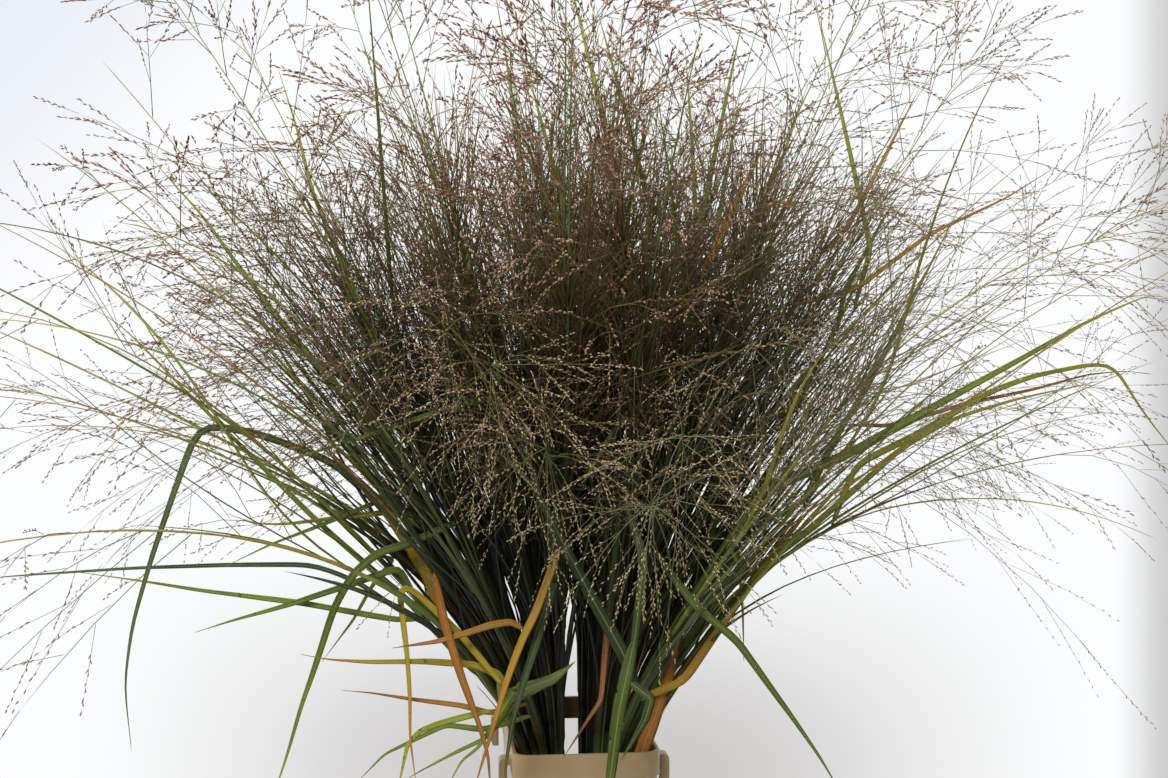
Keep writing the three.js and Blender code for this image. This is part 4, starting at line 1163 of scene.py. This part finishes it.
def grow_head(growth, stem, head, rng):
    """A shoot of the front stem that stands nearest to its head. Its line is a cubic curve,
    weighted by the powers of the share, from the stem's own heading to one that points out of
    the best side."""
    across, above, depth, branches, mean = head
    end = best_side_place(across, depth, BUCKET.height + above)
    foot = on_stem(stem, 55)[0]
    out_way = unit(0.12 * UP - BEHIND)
    second = foot + axes_at(stem, 55)[0][0] * 130
    third = end - out_way * 120
    share = np.linspace(0, 1, STEPS + 1)[:, None]
    line = foot * (1 - share) ** 3 + 3 * second * share * (1 - share) ** 2
    line = line + 3 * third * share**2 * (1 - share) + end * share**3
    growth.add_threads(line[None, ::2], np.linspace(0.9, 0.4, 11), 0.1, 0.0, 0.0, 0.0)
    place = 1 - 0.16 * rng.random(branches) ** 1.5
    spot = place_on(share[:, 0], line, place)
    way = np.broadcast_to(out_way, spot.shape)
    side = np.broadcast_to(unit(np.cross(UP, out_way)), spot.shape)
    angle = np.arange(branches) * SPIRAL_RADIANS + rng.uniform(-0.3, 0.3, branches)
    spread = np.radians(rng.uniform(45, 88, branches))
    reach = mean * rng.uniform(0.7, 1.3, branches)
    heading = fan_out(way, np.cross(side, way), side, angle, spread)
    grow_sprays(growth, stem, spot, heading, reach, 0.75, 0.30, rng, 0.8)


def grow_tillers(growth, stem, rng):
    """Thin young culms without leaves. Each rises beside the stem and parts from it by the share
    of its length to the power 1.4."""
    count, size = stem.tillers, 11
    share = np.linspace(0, 1, size)
    start = rng.uniform(35, 110, count)
    along = start[:, None] + rng.uniform(260, 470, count)[:, None] * share
    around = rng.uniform(0, 2 * np.pi, count)
    off = 2.2 + rng.uniform(10, 120, count)[:, None] * share**1.4
    _, out, across = axes_at(stem, 120.0)
    side = out * np.cos(around)[:, None] + across * np.sin(around)[:, None]
    rows = on_stem(stem, along.ravel()).reshape(count, size, 3) + side[:, None] * off[..., None]
    radii = np.interp(share[1:-1], [0, 1], [1.0, 0.4])
    tone = rng.uniform(0.0, 1.0, (count, 1))
    growth.add_threads(rows, radii, tone, share, 0.7 * stem.bleached, 0.0)


def curve(root, heading, length, bend, share):
    """Points of branches: straight on by the share of the length, and off by the bend times the
    share squared. share has a row for each branch, or one for all."""
    share = share[..., None]
    reach = heading[:, None] * share + bend[:, None] * share**2
    return root[:, None] + length[:, None, None] * reach


def curve_way(heading, bend, share):
    """The ways forward at points of branches: the slope of the curve."""
    return unit(heading[:, None] + 2 * bend[:, None] * share[..., None])


def held_in(root, heading, length):
    """Lengths cut so that a branch and its last string stay in the box, plus a small room."""
    reach = heading * length[:, None] * 1.15
    room = np.where(reach > 0, BOX_HIGH + BOX_ROOM - root, root - BOX_LOW + BOX_ROOM)
    share = np.clip(room / np.maximum(np.abs(reach), 1e-6), 0.2, 1).min(axis=1)
    return length * share


def grow_wisps(growth, stem, rng):
    """Fine bare branches, some already shed, on the middle of the stem. Each leaves the axis at a
    small angle and curves by a bend times the share of its length squared."""
    count = stem.wisps
    along = rng.uniform(0.35, 0.68, count) * stem.length
    angle = rng.uniform(0, 6.28, count)
    heading = fan_out(*axes_at(stem, along), angle, rng.uniform(0.15, 0.7, count))
    bend = rng.normal(0, 0.16, (count, 3)) + 0.1 * UP
    foot = on_stem(stem, along)
    length = held_in(foot, heading + bend, rng.uniform(50, 140, count))
    rows = curve(foot, heading, length, bend, np.array([0, 0.04, 0.35, 0.7, 1.0]))
    tone = rng.uniform(0.3, 1.0, (count, 1))
    growth.add_threads(rows, np.array([0.52, 0.46, 0.36]), tone, 0.5, stem.bleached, 0.0)


def around_axis(forward, angle, spread):
    """Directions that leave forward by the spread, at an angle round it."""
    side, over = square_to(forward, 0.9)
    ring = over * np.cos(angle)[..., None] + side * np.sin(angle)[..., None]
    return forward * np.cos(spread)[..., None] + ring * np.sin(spread)[..., None]


def grow_sprays(growth, stem, root, heading, length, fine, pale, rng, droop=0.36):
    """Main branches, bare at first, with side branches that keep close to them further out. Each
    side branch is a string of spikelets on very short stalks. fine scales the spikelets, pale
    lightens them, and droop is the most that a main branch sags."""
    count = len(root)
    if count == 0:
        return
    thin = 0.4 + 0.6 * fine
    hue = stem.bleached * (1 - 0.8 * stem.frontness)
    length = held_in(root, heading, length)
    sag = -UP * rng.uniform(0.02, droop, count)[:, None] + rng.normal(0, 0.04, (count, 3))
    share = np.array([0, 0.03, 0.3, 0.6, 0.85, 1.0])
    radii = np.array([0.38, 0.32, 0.27, 0.22]) * thin
    rows = curve(root, heading, length, sag, share)
    growth.add_threads(rows, radii, share * 0.8 + 0.1, share, hue, 0.0)

    # Side branches. The last of each main branch carries straight on from its end.
    number = SECONDARIES + 1
    shape = (count, number)
    place = (np.arange(number) + 0.3) / (SECONDARIES + 0.3) * 0.64 + 0.30
    place = np.clip(place + rng.uniform(-0.07, 0.07, shape), 0.12, 0.98)
    place[:, -1] = 0.985
    base = curve(root, heading, length, sag, place)
    tangent = curve_way(heading, sag, place)
    angle = np.arange(number) * SPIRAL_RADIANS + rng.uniform(0, 6.28, (count, 1))
    spread = rng.uniform(0.25, 0.75, shape)
    spread[:, -1] = 0.06
    way = around_axis(tangent, angle, spread)
    size = length[:, None] * (0.34 * (1 - place) + 0.16) * rng.uniform(0.7, 1.3, shape) + 12
    curl = 0.12 * tangent + rng.normal(0, 0.05, (*shape, 3)) - 0.08 * UP
    base, way, size, curl = (a.reshape(-1, *a.shape[2:]) for a in (base, way, size, curl))
    share = np.array([0, 0.05, 0.55, 1.0])
    rows = curve(base, way, size, curl, share)
    growth.add_threads(rows, np.array([0.21, 0.17]) * thin, 0.35 + 0.6 * share, share, hue, 0.0)

    # Spikelets, left and right by turns. The last of each string sits on the branch's own tip.
    strings = len(base)
    count = strings * STRING
    shape = (strings, STRING)
    place = 0.32 + 0.68 * (np.arange(STRING) + 0.75) / STRING + rng.uniform(-0.03, 0.03, shape)
    place[:, -1] = 0.97
    place = np.minimum(place, 0.98)
    foot = curve(base, way, size, curl, place).reshape(-1, 3)
    angle = np.arange(STRING) * 3.14 + rng.uniform(-0.8, 0.8, shape)
    angle = angle + rng.uniform(0, 6.28, (strings, 1))
    spread = rng.uniform(0.12, 0.42, shape)
    spread[:, -1] = 0.05
    way = around_axis(curve_way(way, curl, place), angle, spread).reshape(-1, 3)
    stalk = rng.uniform(0.3, 1.4, count) * fine
    husk = rng.uniform(3.0, 4.0, count) * fine
    reach = np.stack([stalk * 0, stalk + 0.45 * husk, stalk + husk], -1)
    rows = foot[:, None] + way[:, None] * reach[..., None]
    fat = rng.uniform(0.54, 0.72, count) * fine
    tone = 0.65 * rng.beta(1.6, 1.6, count) + 0.35 * np.repeat(rng.random(strings), STRING)
    tone = np.clip(tone + pale, 0, 1)
    growth.add_threads(rows, fat[:, None], tone[:, None], [0.0, 0.5, 1.0], hue, [0.3, 1.0, 1.0])


LEAF_COLOURS = [
    (0.00, srgb(0.19, 0.26, 0.20)),
    (0.12, srgb(0.26, 0.33, 0.15)),
    (0.28, srgb(0.36, 0.43, 0.16)),
    (0.44, srgb(0.50, 0.59, 0.18)),
    (0.58, srgb(0.68, 0.68, 0.21)),
    (0.70, srgb(0.76, 0.62, 0.18)),
    (0.84, srgb(0.72, 0.46, 0.18)),
    (0.92, srgb(0.64, 0.39, 0.18)),
    (1.00, srgb(0.50, 0.31, 0.19)),
]
THREAD_COLOURS = [
    (0.0, srgb(0.36, 0.42, 0.21)),
    (0.5, srgb(0.46, 0.42, 0.22)),
    (1.0, srgb(0.50, 0.35, 0.25)),
]
HUSK_COLOURS = [
    (0.00, srgb(0.30, 0.17, 0.15)),
    (0.30, srgb(0.44, 0.28, 0.24)),
    (0.55, srgb(0.60, 0.44, 0.37)),
    (0.78, srgb(0.74, 0.65, 0.50)),
    (1.00, srgb(0.86, 0.82, 0.64)),
]


def marks_of(place):
    """The wires of the stem's four marks."""
    return [
        add_node(place.tree, "Attribute", None, {"attribute_name": name}, "Fac") for name in MARKS
    ]


def ramp(share, stops):
    """A colour by a share, which is a wire."""
    return add_node(share.tree, "ValToRGB", {0: share}, {"stops": stops})


def streaks(across, along, tone, scale):
    """Fine lengthwise streaks: noise over the parts of a place on the blade, squeezed across."""
    place = add_node(across.tree, "CombineXYZ", {0: across, 1: along, 2: tone})
    return noise(place, scale, 4.0, 0.6)


def shaded(place, colour, share):
    """Painted shade deep in the bunch: the colour is mixed by the share towards dark brown, where the
    bunch's own stems and leaves shade it. How deep a place lies: the radius from the axis over the
    bunch's own radius at that height falls smoothly, front to back a little flatter, and the top is
    left out."""
    x, y, z = parts_of(place)
    x = x - BUNCH.middle
    radius = (x * x + y * y * 0.75) ** 0.5
    share_out = radius / bunch_radius(z)
    deep = (1.0 - share_out.within(0.60, 1.22)) * (1.0 - z.within(0.57, 0.82))
    # The dark brown of the painted shade.
    return mix(deep * share, colour, srgb(0.08, 0.065, 0.035))


def paint_blade(place, painted_shade_share):
    """Ribbed leaf: its hue by the blade, yellower towards the tip, with a pale midrib, fine
    lengthwise streaks, a bluish bloom and small brown flecks, and painted shade deep in the bunch
    by the share given."""
    tone, along, across, length = marks_of(place)
    streak = streaks(across * 6.0, along * length * 2.5, tone * 9.0, 2.2)
    cloud = noise(place, 22.0, 3.0)
    fleck = noise(place, 260.0, 2.0)
    ripe = (along + cloud * 0.5).within(0.75, 1.35)
    hue = tone + ripe * 0.16 + (streak - 0.5) * 0.20 + (cloud - 0.5) * 0.16
    dull = (1.0 - streak).within(0.42, 0.66)
    colour = mix(dull * 0.4, ramp(hue, LEAF_COLOURS), srgb(0.24, 0.22, 0.12))
    bloom = (1.0 - tone).within(0.55, 1.0) * cloud.within(0.35, 0.7)
    colour = mix(bloom * 0.35, colour, srgb(0.40, 0.48, 0.40))
    rib = 1.0 - across.size().within(0.03, 0.16)
    colour = mix(rib * 0.45, colour, srgb(0.66, 0.68, 0.42))
    edge = across.size().within(0.86, 1.0)
    colour = mix(edge * 0.25, colour, srgb(0.55, 0.50, 0.30))
    colour = mix(fleck.within(0.66, 0.74) * 0.6, colour, srgb(0.32, 0.20, 0.12))
    ribs = (across * 38.0).sine()
    return {
        # Painted shade deep in the bunch, by the share given to the finish.
        "Base Color": shaded(place, colour, painted_shade_share),
        "Roughness": 0.40 + streak * 0.2,
        "Normal": bump(ribs * 0.35 + streak + rib * 0.8, 0.25, 0.0006),
        "Specular IOR Level": 0.3,
    }


def paint_culm(place):
    """Sheath and culm: dark green with a waxy bloom, purple, tan or rust by the joint, ribbed
    lengthwise, with a brown ring at each joint."""
    tone, along, across, joint = marks_of(place)
    streak = streaks(across * 5.0, along * 18.0, tone * 7.0, 2.0)
    cloud = noise(place, 30.0, 3.0)
    hue = tone + (streak - 0.5) * 0.10 + (cloud - 0.5) * 0.06
    green = (1.0 - tone).within(0.6, 0.95)
    purple = cloud.within(0.52, 0.68) * green
    colour = mix(purple * 0.7, ramp(hue, LEAF_COLOURS), srgb(0.30, 0.20, 0.20))
    bare = 1.0 - cloud.within(0.30, 0.48) * green
    colour = mix(bare * 0.25, colour, srgb(0.40, 0.47, 0.44))
    colour = mix(joint * 0.7, colour, srgb(0.40, 0.30, 0.18))
    return {
        # Painted shade deep in the bunch, nearly in full.
        "Base Color": shaded(place, colour, 0.94),
        "Roughness": 0.42 + streak * 0.2,
        "Normal": bump(streak, 0.3, 0.0006),
        "Specular IOR Level": 0.2,
    }


def paint_panicle(place):
    """Threads that run from grey-green to purple-brown, and husks from purple-brown to straw.
    Low down both are unripe and greener, and on bleached stems paler up to a height."""
    tone, along, hue, husk = marks_of(place)
    height = parts_of(place)[2]
    hue = hue * (1.0 - height.within(0.64, 0.80) * 0.7)
    unripe = 1.0 - height.within(0.42, 0.66)
    thread = mix(unripe * 0.65, ramp(tone, THREAD_COLOURS), srgb(0.25, 0.33, 0.24))
    thread = mix(hue * 0.8, thread, srgb(0.64, 0.63, 0.50))
    rosy = noise(place, 9.0, 2.0).within(0.46, 0.60)
    shade = mix(rosy * 0.4, ramp(tone, HUSK_COLOURS), srgb(0.68, 0.50, 0.48))
    shade = mix(hue * 0.5, shade, srgb(0.62, 0.55, 0.42))
    shade = mix(unripe * 0.65, shade, srgb(0.64, 0.60, 0.42))
    shade = mix(along.within(0.5, 1.0) * 0.25, shade, srgb(0.50, 0.30, 0.30))
    return {
        # Painted shade deep in the bunch, nearly in full.
        "Base Color": shaded(place, mix(husk, thread, shade), 0.94),
        "Roughness": 0.45 + husk * 0.1,
        "Specular IOR Level": 0.15,
    }


# Side shoots that point straight out at the best side, so that their panicles show end on, like
# stars: across, above the rim, depth, number of branches and their mean length.
SHOWN_HEADS = [
    (46, 224, -400, 14, 56),
    (66, 262, -370, 8, 52),
    (-50, 302, -330, 15, 66),
    (-80, 330, -320, 12, 58),
    (-15, 253, -360, 8, 42),
    (118, 318, -300, 8, 56),
]
for head in SHOWN_HEADS:
    front_stems = [stem for stem in stems if stem.y < -45 and not stem.heads]
    min(front_stems, key=lambda stem: abs(stem.x - 0.6 * head[0])).heads.append(head)

# The two blade finishes differ only in how much painted shade they take deep in the bunch: most for the
# blades inside, little for those that show singly.
stem_finishes = [
    make_finish("culm_sheath", paint_culm),
    make_finish("grass_blade", paint_blade, 0.95),
    make_finish("panicle_husk", paint_panicle),
    make_finish("grass_blade_outer", paint_blade, 0.3),
]
for stem in stems:
    growth = Growth()
    grow_culm(growth, stem)
    for blade in stem.blades:
        grow_blade(growth, blade)
    rng = np.random.default_rng(stem.seed)
    for head in stem.heads:
        grow_head(growth, stem, head, rng)
    grow_sprays(growth, stem, *grow_primaries(stem, rng), stem.fine, stem.pale, rng)
    if stem.tillers:
        grow_tillers(growth, stem, rng)
    if stem.wisps:
        grow_wisps(growth, stem, rng)
    for _ in range(stem.shoots):
        fine = stem.fine * (1 - 0.35 * stem.frontness)
        # Shoots turned towards the best side are lightened a little more: painted light, for the front
        # light they catch.
        pale = stem.pale + 0.06 * stem.frontness
        grow_sprays(growth, stem, *grow_shoot(growth, stem, rng), fine, pale, rng)
    plant = growth.finish("grass_" + stem.name.removeprefix("leafy_"), stem_finishes)
    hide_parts(stem.name)
    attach(plant, "root")
